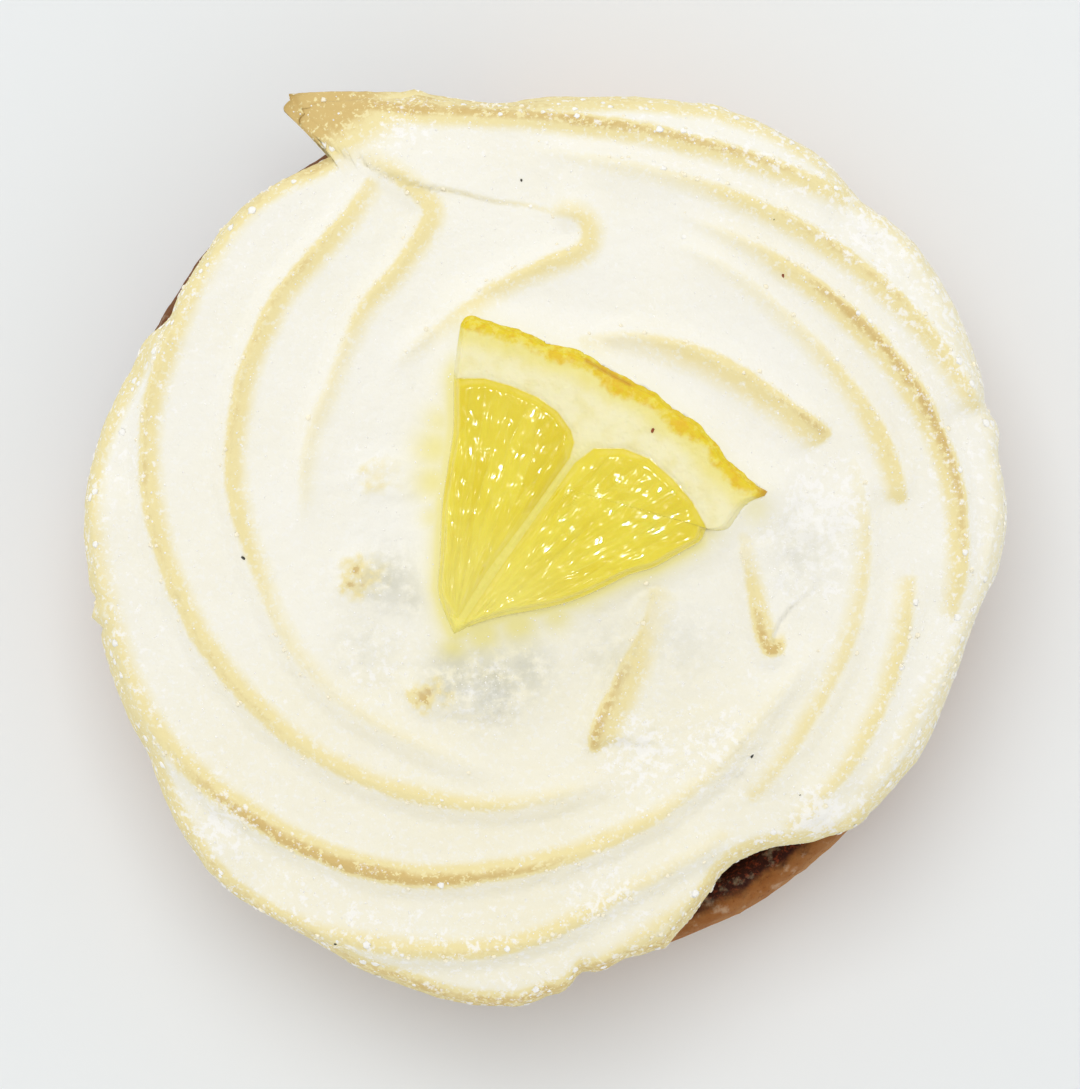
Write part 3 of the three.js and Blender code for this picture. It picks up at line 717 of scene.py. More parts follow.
def pastry_material(settings):
    """Baked shortcrust: brown and matt, nearly black inside the rim from deep baking and painted
    shade under the meringue, with sugar on the rim.
    """
    material, shader, place = new_material("baked shortcrust", settings.crust)
    parts = split(place)
    x, y, z = parts["X"], parts["Y"], parts["Z"]
    baking = shared("Uneven baking", place, Blotch=9.0, Grain=0.9)
    colour = blend(step(baking, 0.36, 0.66), settings.pale, settings.crust)
    deep = [channel * 0.42 for channel in settings.crust]
    colour = blend(step(lumps(place, 0.5, 4.0, 0.7), 0.58, 0.7), colour, deep)
    high = step(z, CASE_HEIGHT - 6.0, CASE_HEIGHT + 0.5)
    colour = blend(high * 0.8, colour, paint(122, 64, 14))
    colour = blend(step(y - x, 34.0, 50.0) * 0.75, colour, paint(92, 52, 28))
    ragged = lumps(place, 2.2, 4.0, 0.65) * 2.6 + calc("SQRT", x * x + y * y)
    # Deep baking and painted shade: the inner rim under the meringue's overhang is nearly black.
    burnt_and_shaded = (1.0 - step(ragged, 39.3, 40.6)) * step(z, FILL_HEIGHT - 1.5, FILL_HEIGHT - 0.5)
    speck = blend(step(lumps(place, 0.45, 3.0, 0.7, 4.0), 0.5, 0.68), settings.dark,
                  paint(120, 52, 30))
    colour = blend(burnt_and_shaded, colour, speck)
    powder = shared("Icing sugar dusting", place, Clump=1.4, Softness=0.35, Amount=high * 0.42)
    colour = blend(powder["Mask"] * 0.3, colour, paint(222, 204, 176))
    finish_shader(shader, {"Base Color": colour, "Roughness": 0.82, "Specular IOR Level": 0.25},
                  shared("Fine pores", place, Size=0.5, Pits=0.5), 0.13)
    return material


class TART_OT_case(bpy.types.Operator):
    """Build the baked shortcrust case"""
    bl_idname = "tart.case"
    bl_label = "Pastry Case"

    def execute(self, context):
        settings = context.scene.tart_case
        material = pastry_material(settings)
        base = bpy.data.meshes.new("case_seed")
        base.from_pydata([(0, 0, 0)], [], [])
        piece = grown_by(case_tree(), "tart_case", base, {
            "Sectors": settings.sectors, "Rows": settings.rows, "Crumb": settings.crumb,
            "Material": material}, material)
        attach(piece, BODY)
        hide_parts("pastry_case")
        return {"FINISHED"}


# ---- Meringue swirl -----------------------------------------------------------------------

class SwirlSettings(bpy.types.PropertyGroup):
    """Sizes and colours of the meringue."""
    spoke_angle: FloatProperty(name="Spoke angle", description="Between two spokes of its mesh",
                               default=math.radians(0.8), subtype="ANGLE")
    dome_rings: IntProperty(name="Rings", description="Rings of its mesh on the dome", default=150)
    edge_rows: IntProperty(name="Edge rows", description="Rows of its mesh down the edge",
                           default=46)
    lumpiness: size_setting("Lumpiness", "How far the surface strays", 0.16)
    white: colour_setting("White", "Untoasted meringue", 238, 236, 228)
    # Also the colour of the painted shade towards the meringue's lower side.
    cream: colour_setting("Cream", "Barely toasted meringue", 236, 231, 210)
    golden: colour_setting("Golden", "Toasted crests", 232, 218, 163)
    brown: colour_setting("Brown", "The most toasted crests and the tail", 208, 180, 116)


# How toasted the edge is, every 30 degrees anticlockwise from +X.
EDGE_TOAST = (0.34, 0.4, 0.58, 0.9, 0.9, 0.7, 0.68, 0.8, 0.9, 1.05, 0.85, 0.5)
# How much icing sugar lies on the edge, at the same places.
EDGE_SUGAR = (0.6, 0.8, 0.68, 0.42, 0.35, 0.6, 0.6, 0.58, 0.62, 0.6, 0.62, 0.75)
UNDER_ROWS = 10
# Where juice has run out from under the slice.
JUICE = (
    ((-8.8, 9.8), 1.8, 0.8), ((-9.2, 7.4), 2.2, 1.0), ((-9.4, 4.4), 2.0, 1.0),
    ((-9.4, 1.2), 1.4, 0.8), ((-5.0, -9.2), 2.0, 1.1), ((-1.8, -8.4), 2.0, 1.1),
    ((1.6, -7.6), 1.7, 0.9), ((-7.6, -10.6), 1.5, 1.0), ((5.0, -6.2), 1.3, 0.6),
    ((19.6, 2.0), 1.5, 0.5),
)
# Painted shade: where the powder in the hollows is greyed as if shaded: the place in plan, its
# radius and how much.
HOLLOW_SHADE = (
    ((-13.6, -4.4), 2.6, 0.8), ((-10.8, -5.6), 2.2, 0.7), ((-15.8, -10.6), 2.6, 0.35),
    ((-7.4, -13.6), 2.6, 0.9), ((-4.0, -14.0), 3.2, 1.0), ((-1.0, -12.6), 2.6, 0.8),
    ((6.0, -11.0), 3.0, 0.35), ((23.6, -2.2), 3.2, 0.4), ((13.0, -10.0), 3.5, 0.3),
)
# Where icing sugar has drifted deepest: the place in plan, its radius and how much.
SNOW = (
    ((24.8, 1.0), 7.0, 1.3), ((9.2, -20.3), 5.0, 1.2), ((25.5, -26.0), 3.5, 1.4),
    ((30.0, 27.6), 3.5, 1.2), ((-4.8, -14.4), 5.0, 1.0), ((-14.3, -11.7), 4.5, 0.9),
    ((24.0, -3.5), 5.0, 1.1), ((16.0, -20.0), 6.0, 1.0), ((-29.0, -27.0), 5.0, 1.1),
    ((-12.0, 36.5), 4.0, 1.0), ((6.0, -33.0), 6.0, 1.0), ((-16.0, 6.0), 4.0, 0.7),
)


def tail_share(degrees):
    """0 on the round of the swirl and 1 at the tip of its tail."""
    rise = np.clip((degrees - TAIL_FROM) / (TAIL_TIP - TAIL_FROM), 0.0, 1.0) ** 1.8
    return np.where(degrees > TAIL_TIP, 1 - smooth(TAIL_TIP, TAIL_END, degrees), rise)


def knob_radius(degrees):
    """How far out the knob of the tail reaches at an angle, or 0 where it doesn't."""
    away = np.radians(degrees - KNOB_ANGLE)
    half = KNOB_RADIUS ** 2 - (KNOB_REACH * np.sin(away)) ** 2
    return np.where(half > 0, KNOB_REACH * np.cos(away) + np.sqrt(np.maximum(0, half)), 0.0)


def body_radius(degrees):
    """Distance from the middle to the swirl's edge, without the tail."""
    radius = catmull(EDGE_RADII, np.mod(degrees, 360) / 12, closed=True)
    for angle, out, half_width in EDGE_BUMPS:
        away = np.mod(degrees - angle + 180, 360) - 180
        radius = radius + out * np.exp(-(away / half_width) ** 2)
    return radius


def flutes_at(x, y):
    """The nozzle's flutes over the plan: their height, how toasted they are, and their beads."""
    height, toast, bead = np.zeros((3, len(x)))
    plan = on_plan(x, y)
    stray = 0.10 * rough(plan, 2.2, 31) + 0.05 * rough(plan, 0.7, 32)
    for crest in CRESTS:
        line = line_of(crest.plan, LINE_SPACING)
        low = line.min(axis=0) - CREST_REACH
        high = line.max(axis=0) + CREST_REACH
        near = np.flatnonzero((x > low[0]) & (x < high[0]) & (y > low[1]) & (y < high[1]))
        distance, along, side = nearest(line, x[near], y[near])
        length = LINE_SPACING * (len(line) - 1)
        out = side * distance * crest.steep - CREST_SHIFT + stray[near]
        steep = 1 - smooth(-0.6, CREST_OUTER_WIDTH, out)
        gentle = np.exp(-np.maximum(0, -out - 0.6) / CREST_INNER_WIDTH)
        ends = smooth(0, crest.fade[0], along - END_SLANT * distance)
        ends = ends * smooth(0, crest.fade[1], length - along - END_SLANT * distance)
        height[near] += crest.height * steep * gentle * ends * (1 - smooth(4, 8, distance))
        steps = along / length * (len(crest.toast) - 1)
        strength = np.clip(catmull(crest.toast, steps), 0, MOST_TOAST)
        band = (1 - smooth(-0.25, 0.45, out)) * (1 - smooth(0.6, 3.0 * crest.spread, -out))
        line_tone = 0.8 + 0.2 * np.exp(-((out + 0.45) / 0.6) ** 2)
        round_end = smooth(-0.05, 0.8, np.minimum(along, length - along) - 0.25 * distance)
        toast[near] = np.maximum(toast[near], strength * band * line_tone * round_end)
        thread = np.exp(-((out - 0.12) / 0.26) ** 2) * np.minimum(1, strength * 1.3) * round_end
        bead[near] = np.maximum(bead[near], thread)
    return height, toast, bead


def noses_at(x, y):
    """The rounded ends of flutes near the middle: their height and how toasted they are."""
    height, toast = np.zeros((2, len(x)))
    plan = on_plan(x, y)
    stray = 0.14 * rough(plan, 1.6, 33) + 0.1 * rough(plan, 0.7, 34)
    dotted = 0.95 + 1.1 * rough(plan, 0.6, 35)
    for nose in NOSES:
        tip = np.array(nose.tip)
        run = np.array(nose.root) - tip
        length = np.hypot(*run)
        run = run / length
        along = (x - tip[0]) * run[0] + (y - tip[1]) * run[1] - nose.half_width
        across = (x - tip[0]) * -run[1] + (y - tip[1]) * run[0]
        reach = np.hypot(np.minimum(along, 0), across) / nose.half_width + stray
        dying = 1 - smooth(0.25 * length, length, along)
        height += nose.height * (1 - smooth(0.35, 1.3, reach)) * dying
        cap = (1 - smooth(0.25, 1.15, reach)) * (1 - smooth(-1.6, 4.5, along + 2 * stray))
        toast = np.maximum(toast, nose.toast * cap * dotted)
    return height, toast


def last_turn_at(x, y):
    """The last turn's step over the turn inside it, and the distance to the seam between them."""
    line = line_of(SEAM, LINE_SPACING)
    distance, along, side = nearest(line, x, y)
    dying = smooth(0, 12, LINE_SPACING * (len(line) - 1) - along)
    lip = LAST_TURN_STEP * dying * (1 - smooth(2, 7, distance))
    return np.where(side > 0, lip, 0) - 0.12 * dying * peak(distance, 0.3), distance


def waist_at(turn):
    """1 in the grooves round the edge and 0 on the flutes between them."""
    return 0.5 - 0.5 * np.cos(2 * np.pi * (turn - 90) / EDGE_FLUTE_TURN)


def swirl_grid(settings):
    """Columns of points from the middle of the top, over the edge, to the middle underneath.

    Returns the points, a share that is 1 on the dome and sinks to 0 at the edge, and how far
    each has turned over the edge from 0 to 180 degrees.
    """
    angle = math.degrees(settings.spoke_angle)
    degrees = np.concatenate([np.arange(123 - 360, 114.5, angle), np.arange(114.8, 119.0, 0.14),
                              np.arange(119.4, 122.8, 0.8)])
    share = np.where(knob_radius(degrees) > 0, 1.0, tail_share(degrees))[:, None]
    body = body_radius(degrees)
    drawn_out = np.maximum(body + TAIL_REACH * tail_share(degrees), knob_radius(degrees))
    edge = drawn_out[:, None]
    shoulder = body[:, None] - EDGE_WIDTH
    middle = EDGE_MIDDLE + 0.6 * TAIL_LIFT * share
    bottom = BODY_BOTTOM + TAIL_LIFT * share

    on_dome = shoulder * (np.arange(1, settings.dome_rings + 1)[None, :] / settings.dome_rings)
    turn = 180.0 * np.arange(1, settings.edge_rows + 1)[None, :] / settings.edge_rows
    power = 2 / EDGE_SQUARENESS
    out = np.maximum(0, np.sin(np.radians(turn))) ** power
    cosine = np.cos(np.radians(turn))
    up = np.sign(cosine) * np.abs(cosine) ** power
    flute = EDGE_FLUTE * waist_at(turn) * smooth(40, 70, turn) * out
    on_edge = shoulder + (edge - shoulder) * out - flute
    under = 1 - np.arange(1, UNDER_ROWS + 1)[None, :] / (UNDER_ROWS + 1)
    beneath = shoulder * under

    radius = np.hstack([on_dome, on_edge, beneath])
    lean = TAIL_LEAN * share * smooth(38.5, 46.0, radius)
    theta = np.radians(degrees[:, None] + lean)
    droop = TAIL_DROOP * share * smooth(shoulder, edge, radius)
    top = DOME_TOP - DOME_DROP * (radius / DOME_RADIUS) ** 2 - droop
    high = np.hstack([np.ones_like(on_dome), np.broadcast_to(up, on_edge.shape),
                      np.full_like(beneath, -1.0)])
    z = middle + high * np.where(high > 0, top - middle, middle - bottom)
    z[:, -UNDER_ROWS:] = BODY_BOTTOM + (bottom - BODY_BOTTOM) * 0.5 * under
    turned = np.hstack([np.zeros_like(on_dome), np.broadcast_to(turn, on_edge.shape),
                        np.full_like(beneath, 180.0)])
    columns = np.stack([radius * np.cos(theta), radius * np.sin(theta), z], axis=-1)
    return columns, np.maximum(high, 0).ravel(), turned.ravel()


def seat_for_slice(x, y, z):
    """The slice lies flat, a little way into the meringue, which rises against its sides.

    Returns the new height and how far each point is beyond the slice's outline.
    """
    beyond = outside_of(SLICE_LEFT_SIDE + SLICE_RIND + SLICE_RIGHT_SIDE, x, y)
    away = np.maximum(0, beyond)
    bank = SEAT + BANK_HEIGHT * np.exp(-away / BANK_WIDTH) - BANK_SLOPE * away
    share = np.clip(0.5 + 0.5 * (bank - z) / BANK_BLEND, 0, 1)
    raised = z + (bank - z) * share + BANK_BLEND * share * (1 - share)
    raised = np.where(beyond < BANK_REACH, raised, z)
    ceiling = SEAT + SEAT_STEEPNESS * np.maximum(0, beyond + SEAT_CLEARANCE)
    return np.minimum(raised, ceiling), beyond


def swirl_piece(settings, material):
    """The meringue, with the values that its material and the sugar on it read."""
    columns, high, turn = swirl_grid(settings)
    x = columns[..., 0].ravel()
    y = columns[..., 1].ravel()
    top = np.flatnonzero(high > 0)
    height, toast, bead = np.zeros((3, len(x)))
    beyond = np.full(len(x), FAR)
    height[top], toast[top], bead[top] = flutes_at(x[top], y[top])
    nose_height, nose_toast = noses_at(x[top], y[top])
    turn_height, to_seam = last_turn_at(x[top], y[top])
    height[top] += nose_height + turn_height
    z = columns[..., 2].ravel() + height * high
    z[top], beyond[top] = seat_for_slice(x[top], y[top], z[top])
    columns[..., 2] = z.reshape(columns.shape[:2])

    places = columns.reshape(-1, 3)
    bare = smooth(0.5, 3.0, beyond)
    stray = settings.lumpiness / MM
    drift = spots_at(SNOW, x, y) * (high > 0) * bare
    wobble = stray * rough(places, 5.5, 1) + 0.5 * stray * rough(places, 1.3, 2)
    fine = 0.38 * stray * rough(places, 0.55, 3)
    snow = drift * (0.2 * rough(places, 1.5, 21) + 0.14 * rough(places, 0.8, 22))
    push = (wobble + fine) * (0.25 + 0.75 * bare) + snow
    columns = columns + normals_of(columns) * push.reshape(columns.shape[:2])[..., None]
    piece = skin("meringue_swirl", columns, (0, 0, SEAT), (0, 0, BODY_BOTTOM), material)

    reach = np.hypot(x, y)
    angle = np.degrees(np.arctan2(y, x))
    edge_toast, edge_sugar = (
        catmull(values, np.mod(angle, 360) / 30, closed=True) for values in (EDGE_TOAST, EDGE_SUGAR))
    toast[top] = np.maximum(toast[top], nose_toast)
    grooves = waist_at(turn) * smooth(62, 80, turn)
    side_toast = edge_toast * smooth(0, 32, turn) * (1.12 - 0.62 * grooves)
    at_tail = smooth(98, 117, angle) * smooth(36, 43, reach) * (angle < 123)
    toast = np.maximum(np.maximum(toast, side_toast), 1.6 * at_tail)
    toast[top] = np.maximum(toast[top], 0.4 * peak(to_seam, 0.3))
    # Painted shade: the toast value is raised towards the lower middle and the lower side, which
    # creams and greys them as if less lit.
    low = np.exp(-((x + 2) / 22) ** 2 - ((y + 15) / 9) ** 2)
    base = 0.08 + 0.06 * smooth(8, 30, reach) + 0.12 * low + 0.1 * smooth(5, 35, -y)
    toast = np.maximum(toast, base + 0.05 * rough(places, 7.0, 41))

    bead[top] = np.maximum(bead[top], 0.4 * peak(to_seam - 0.2, 0.3))
    clump = edge_sugar * smooth(5, 30, turn) * (1 - smooth(85, 120, turn))
    clump = (clump + 0.35 * bead * smooth(24, 38, reach)) * (1 - at_tail)
    sugar = np.where(turn > 0, edge_sugar * (1 - smooth(95, 150, turn)),
                     0.3 + 0.55 * edge_sugar * smooth(30, 40, reach))
    sugar = np.maximum(sugar * (1 - 0.45 * at_tail), 0.9 * drift)
    past_rind = smooth(24.0, 27.5, from_core(x, y)[0])
    wet = np.exp(-np.maximum(0, beyond - 0.5) / 0.8) * (1 - 0.85 * past_rind)
    wet = np.minimum(np.maximum(wet, spots_at(JUICE, x, y)), 1) * (high > 0)
    # Painted shade for the hollows, kept off the slice's bank.
    hollow_shade = spots_at(HOLLOW_SHADE, x, y) * (high > 0) * bare
    set_values(piece, {
        "toast": (0.0, toast, 0.0), "sugar": (0.0, sugar, 0.0), "wet": (1.0, wet, 0.0),
        "bead": (0.0, bead * (1 - 0.5 * at_tail), 0.0), "clump": (0.0, clump, 0.0),
        "hollow_shade": (0.0, hollow_shade, 0.0)})
    return piece


def meringue_material(settings):
    """Meringue: off-white, golden to brown by its toasting and creamier with painted shade towards
    the lower side, speckled with icing sugar.
    """
    material, shader, place = new_material("toasted meringue", settings.white)
    tree = place.tree
    uneven = shared("Uneven baking", place, Blotch=3.2, Grain=0.7)
    bare_spot = step(lumps(place, 0.5, 3.0, 0.6, 9.0), 0.52, 0.66)
    # The toast value also carries painted shade towards the lower side.
    toast = read_value(tree, "toast") * (uneven * 0.9 + 0.55) * (bare_spot * -0.45 + 1.0)
    colour = blend(step(toast, 0.02, 0.3), settings.white, settings.cream)
    colour = blend(step(toast, 0.2, 0.72), colour, settings.golden)
    colour = blend(step(toast, 0.8, 1.35), colour, settings.brown)
    wet = read_value(tree, "wet")
    colour = blend(wet * 0.9, colour, paint(231, 221, 142))
    powder = shared("Icing sugar dusting", place, Clump=0.75, Softness=0.22,
                    Amount=read_value(tree, "sugar") * 0.62)
    dry = 1.0 - calc("MULTIPLY", wet, 0.9, clamp=True)
    colour = blend(powder["Mask"] * dry * 0.8, colour, paint(243, 241, 236))
    patchy = step(lumps(place, 1.3, 4.0, 0.65, 2.0), 0.3, 0.6)
    # Painted shade: greys the powder in the hollows where the hollow shade value is set.
    colour = blend(read_value(tree, "hollow_shade") * patchy * 0.9, colour, paint(200, 198, 182))
    pores = shared("Fine pores", place, Size=0.42, Pits=0.35)
    finish_shader(shader, {"Base Color": colour, "Roughness": wet * -0.35 + 0.68,
                           "Specular IOR Level": 0.28},
                  (powder["Height"] * 0.15 + pores) * dry, 0.05)
    return material


class TART_OT_swirl(bpy.types.Operator):
    """Build the piped and toasted meringue"""
    bl_idname = "tart.swirl"
    bl_label = "Meringue Swirl"

    def execute(self, context):
        settings = context.scene.tart_swirl
        piece = swirl_piece(settings, meringue_material(settings))
        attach(piece, BODY)
        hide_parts("meringue")
        return {"FINISHED"}


# ---- Lemon slice --------------------------------------------------------------------------

class LemonSettings(bpy.types.PropertyGroup):
    """Sizes and colours of the lemon slice."""
    spacing: size_setting("Spacing", "Between two points of its mesh", 0.2)
    rings: IntProperty(name="Rings", description="Rings of its mesh on the top", default=118)
    sac_width: size_setting("Sac width", "Width of a juice sac", 1.15)
    sac_length: size_setting("Sac length", "Length of a juice sac", 6.5)
    flesh: colour_setting("Flesh", "Wet lemon flesh", 230, 213, 52)
    deep_flesh: colour_setting("Deep flesh", "Flesh seen more deeply", 221, 200, 16)
    pith: colour_setting("Pith", "The white under the zest", 234, 227, 182)
    zest: colour_setting("Zest", "The outermost yellow", 222, 197, 10)


def sacs_at(x, y, settings):
    """Juice sacs fanning from the core: a height and a shade for each, and the gaps between."""
    reach, bearing = from_core(x, y)
    bend = 0.35 * np.sin(reach / 5.0 + 2.0 * bearing)
    u = reach / (settings.sac_length / MM) + bend * 0.3
    v = bearing * MID_FLESH_RADIUS / (settings.sac_width / MM) + bend
    jitter = np.random.default_rng(SAC_SEED).random((SAC_CELLS, SAC_CELLS, 3))
    first, second = np.full((2, len(x)), 9.0)
    shade = np.zeros(len(x))
    cell_u = np.floor(u).astype(int)
    cell_v = np.floor(v).astype(int)
    for du in (-1, 0, 1):
        for dv in (-1, 0, 1):
            spot = jitter[(cell_u + du) % SAC_CELLS, (cell_v + dv) % SAC_CELLS]
            away = np.hypot(u - (cell_u + du + spot[:, 0]), v - (cell_v + dv + spot[:, 1]))
            closer = away < first
            second = np.where(closer, first, np.minimum(second, away))
            shade = np.where(closer, spot[:, 2], shade)
            first = np.where(closer, away, first)
    return np.clip(1 - first ** 2, 0, 1), shade, second - first


def slice_outline(spacing):
    """Even points round the slice, clockwise from the tip, and 1 for those on the rind."""
    sides = [line_of(part, spacing) for part in (SLICE_LEFT_SIDE, SLICE_RIND, SLICE_RIGHT_SIDE)]
    on_rind = np.concatenate([np.full(len(side), float(i == 1)) for i, side in enumerate(sides)])
    return np.vstack(sides)[::-1], on_rind[::-1]


def in_flesh(x, y):
    """How far inside a segment each point is, negative outside both."""
    return -np.minimum(outside_of(LEFT_SEGMENT, x, y), outside_of(RIGHT_SEGMENT, x, y))


def slice_relief(x, y, settings):
    """The height of the cut face over its base: swollen sacs, a sunken edge and rough pith."""
    inside = in_flesh(x, y)
    height, shade, _ = sacs_at(x, y, settings)
    juicy = smooth(-0.05, 0.7, inside)
    plan = on_plan(x, y)
    reach, bearing = from_core(x, y)
    fan = on_plan(reach / THREAD_LENGTH, MID_FLESH_RADIUS * bearing / THREAD_WIDTH)
    threads = 0.12 * rough(fan, 1.0, 6) + 0.05 * rough(fan, 0.45, 7) + 0.04 * rough(plan, 0.8, 10)
    sacs = 0.09 * (height - 0.55) + threads + 0.05 * (shade - 0.5)
    pith = 0.07 * rough(plan, 2.4, 8) + 0.03 * rough(plan, 0.6, 9)
    swollen = FLESH_RISE * smooth(-0.1, 0.9, inside) - 0.07 * peak(inside - 0.02, 0.3)
    return swollen + juicy * sacs + (1 - juicy) * pith


def slice_piece(settings, material):
    """The slice: two juicy segments in their pith, and the bumpy zest round the outside."""
    outline, on_rind = slice_outline(settings.spacing / MM)
    middle = np.array(SLICE_MIDDLE)
    outward = outline - middle
    outward = outward / np.hypot(*outward.T)[:, None]
    edge_points = on_plan(*outline.T)
    glands = 0.16 * rough(edge_points, 0.95, 11) + 0.06 * rough(edge_points, 0.4, 12)
    outline = outline + outward * (glands * on_rind)[:, None]
    spread = (outline - middle)[:, None, :]
    outward = outward[:, None, :]

    shares = 1 - (1 - np.arange(1, settings.rings + 1) / settings.rings) ** 1.15
    flat = middle + spread * shares[None, :, None]
    relief = slice_relief(flat[..., 0].ravel(), flat[..., 1].ravel(), settings)
    rounding = SLICE_BEVEL * smooth(0.955, 1.0, shares) ** 2
    base = SLICE_TOP - FLESH_RISE - 0.1
    z_top = np.minimum(base + relief.reshape(flat.shape[:2]) - rounding, SLICE_TOP)
    flat = flat - outward * (SLICE_BEVEL * shares[None, :, None] ** 12)
    top = np.dstack([flat, z_top])

    depth = np.linspace(0, 1, SLICE_WALL_ROWS)[None, :, None]
    swell = 0.22 * np.sin(np.pi * depth)
    wall = outline[:, None, :] + outward * (swell - SLICE_BEVEL * (1 - smooth(0, 0.12, depth)))
    z_edge = z_top[:, -1:] - 0.06
    z_wall = z_edge - (z_edge - SLICE_BOTTOM) * depth[..., 0]
    under = middle + spread * np.array([0.97, 0.8, 0.5, 0.2])[None, :, None]
    columns = np.concatenate([
        top, np.dstack([wall, z_wall]),
        np.dstack([under, np.full(under.shape[:2], SLICE_BOTTOM)])], axis=1)

    rind_rows = np.zeros(columns.shape[:2])
    rind_rows[:, settings.rings:settings.rings + SLICE_WALL_ROWS] = on_rind[:, None]
    side_glands = 0.10 * rough(columns.reshape(-1, 3), 0.9, 13).reshape(rind_rows.shape) * rind_rows
    columns = columns + normals_of(columns) * side_glands[..., None]
    pole = float(z_top[:, 0].mean())
    piece = skin("lemon_wedge", columns, (*SLICE_MIDDLE, pole), (*SLICE_MIDDLE, SLICE_BOTTOM),
                 material)

    x = columns[..., 0].ravel()
    y = columns[..., 1].ravel()
    _, shade, gap = sacs_at(x, y, settings)
    to_rind, to_scratch = (nearest(line_of(line, RIND_SPACING), x, y)[0]
                           for line in (SLICE_RIND, SCRATCH))
    to_tip = np.hypot(x - PEEL_TIP[0], y - PEEL_TIP[1])
    browned = np.maximum(0.8 * peak(to_scratch, 0.22), peak(to_tip, 0.75))
    values = {"flesh": in_flesh(x, y), "rind_depth": to_rind, "sac_shade": shade, "sac_gap": gap,
              "blush": spots_at(BLUSH, x, y), "browned": browned}
    set_values(piece, {name: (of[0], of, of[-1]) for name, of in values.items()})
    return piece


def lemon_material(settings):
    """Lemon: glossy wet flesh with its sacs, matt pith, and waxy zest full of oil glands."""
    material, shader, place = new_material("cut lemon", settings.flesh)
    tree = place.tree
    depth = read_value(tree, "rind_depth")
    tone = read_value(tree, "sac_shade") * 0.5 + lumps(place, 3.0, 3.0) * 0.8
    pulp = blend(step(tone, 0.35, 0.95), settings.flesh, settings.deep_flesh)
    thin = 1.0 - step(read_value(tree, "sac_gap"), 0.0, 0.16)
    pulp = blend(thin * 0.2, pulp, paint(230, 217, 92))
    pulp = blend((1.0 - step(depth, 4.0, 12.0)) * 0.4, pulp, paint(219, 195, 24))
    pulp = blend(step(depth, 14.0, 25.0) * 0.6, pulp, paint(233, 222, 112))

    blush = read_value(tree, "blush")
    band = blush * -1.0 + (lumps(place, 1.1, 3.0, 0.6) * 2.2 + depth)
    glands = lumps(place, 0.7, 2.0, 0.5, 3.0)
    zest = blend(step(glands, 0.5, 0.66), settings.zest, paint(218, 182, 0))
    scaly = step(lumps(place, 0.8, 3.0, 0.6, 6.0), 0.5, 0.62)
    zest = blend(scaly * 0.68, zest, paint(230, 216, 90))
    zest = blend(blush * step(glands, 0.34, 0.56), zest, paint(223, 182, 0))

    pale = blend(step(lumps(place, 1.6, 3.0), 0.4, 0.7), settings.pith, paint(230, 221, 164))
    pale = blend((1.0 - step(depth, 1.6, 3.4)) * 0.7, pale, paint(228, 215, 112))
    pale = blend(step(depth, 5.0, 12.0), pale, paint(231, 219, 108))
    rind = blend(1.0 - step(band, 1.7, 2.7), pale, zest)
    rind = blend(read_value(tree, "browned") * 0.75, rind, paint(186, 122, 24))

    flesh = step(read_value(tree, "flesh"), -0.1, 0.14)
    side = 1.0 - step(split(place)["Z"], SLICE_TOP - 1.4, SLICE_TOP - 0.6)
    cut_face = side * step(depth, 4.6, 5.4)
    colour = blend(cut_face, blend(flesh, rind, pulp), paint(226, 212, 98))
    wet = calc("MAXIMUM", flesh, cut_face)
    pores = shared("Fine pores", place, Size=0.7, Pits=0.5)
    finish_shader(shader, {
        "Base Color": colour, "Roughness": wet * -0.34 + 0.5, "Coat Weight": wet,
        "Coat Roughness": 0.03, "Subsurface Weight": 0.2, "Subsurface Radius": (1.0, 0.8, 0.25),
        "Subsurface Scale": 1.4 * MM}, pores * (1.0 - wet), 0.06)
    return material


class TART_OT_lemon(bpy.types.Operator):
    """Build the lemon slice"""
    bl_idname = "tart.lemon"
    bl_label = "Lemon Slice"

    def execute(self, context):
        settings = context.scene.tart_lemon
        piece = slice_piece(settings, lemon_material(settings))
        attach(piece, BODY)
        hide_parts("lemon_slice")
        return {"FINISHED"}


# ---- Icing sugar and beads ----------------------------------------------------------------

class SugarSettings(bpy.types.PropertyGroup):
    """Amounts and sizes of the icing sugar and of the beads of syrup."""
    beads: FloatProperty(name="Beads", description="Beads to the square metre, on crests",
                         default=1.5e6)
    bead_size: size_setting("Bead size", "Radius of the largest bead", 0.27)
    clumps: FloatProperty(name="Clumps", description="Sugar clumps to the square metre, at the rim",
                          default=6.0e5)
    clump_size: size_setting("Clump size", "Radius of the largest clump", 0.42)
    grains: FloatProperty(name="Grains", description="Fine grains to the square metre",
                          default=1.6e6)
    grain_size: size_setting("Grain size", "Radius of the largest grain", 0.13)
    white: colour_setting("White", "Icing sugar", 247, 245, 239)


GRAIN_SHAPES = 4


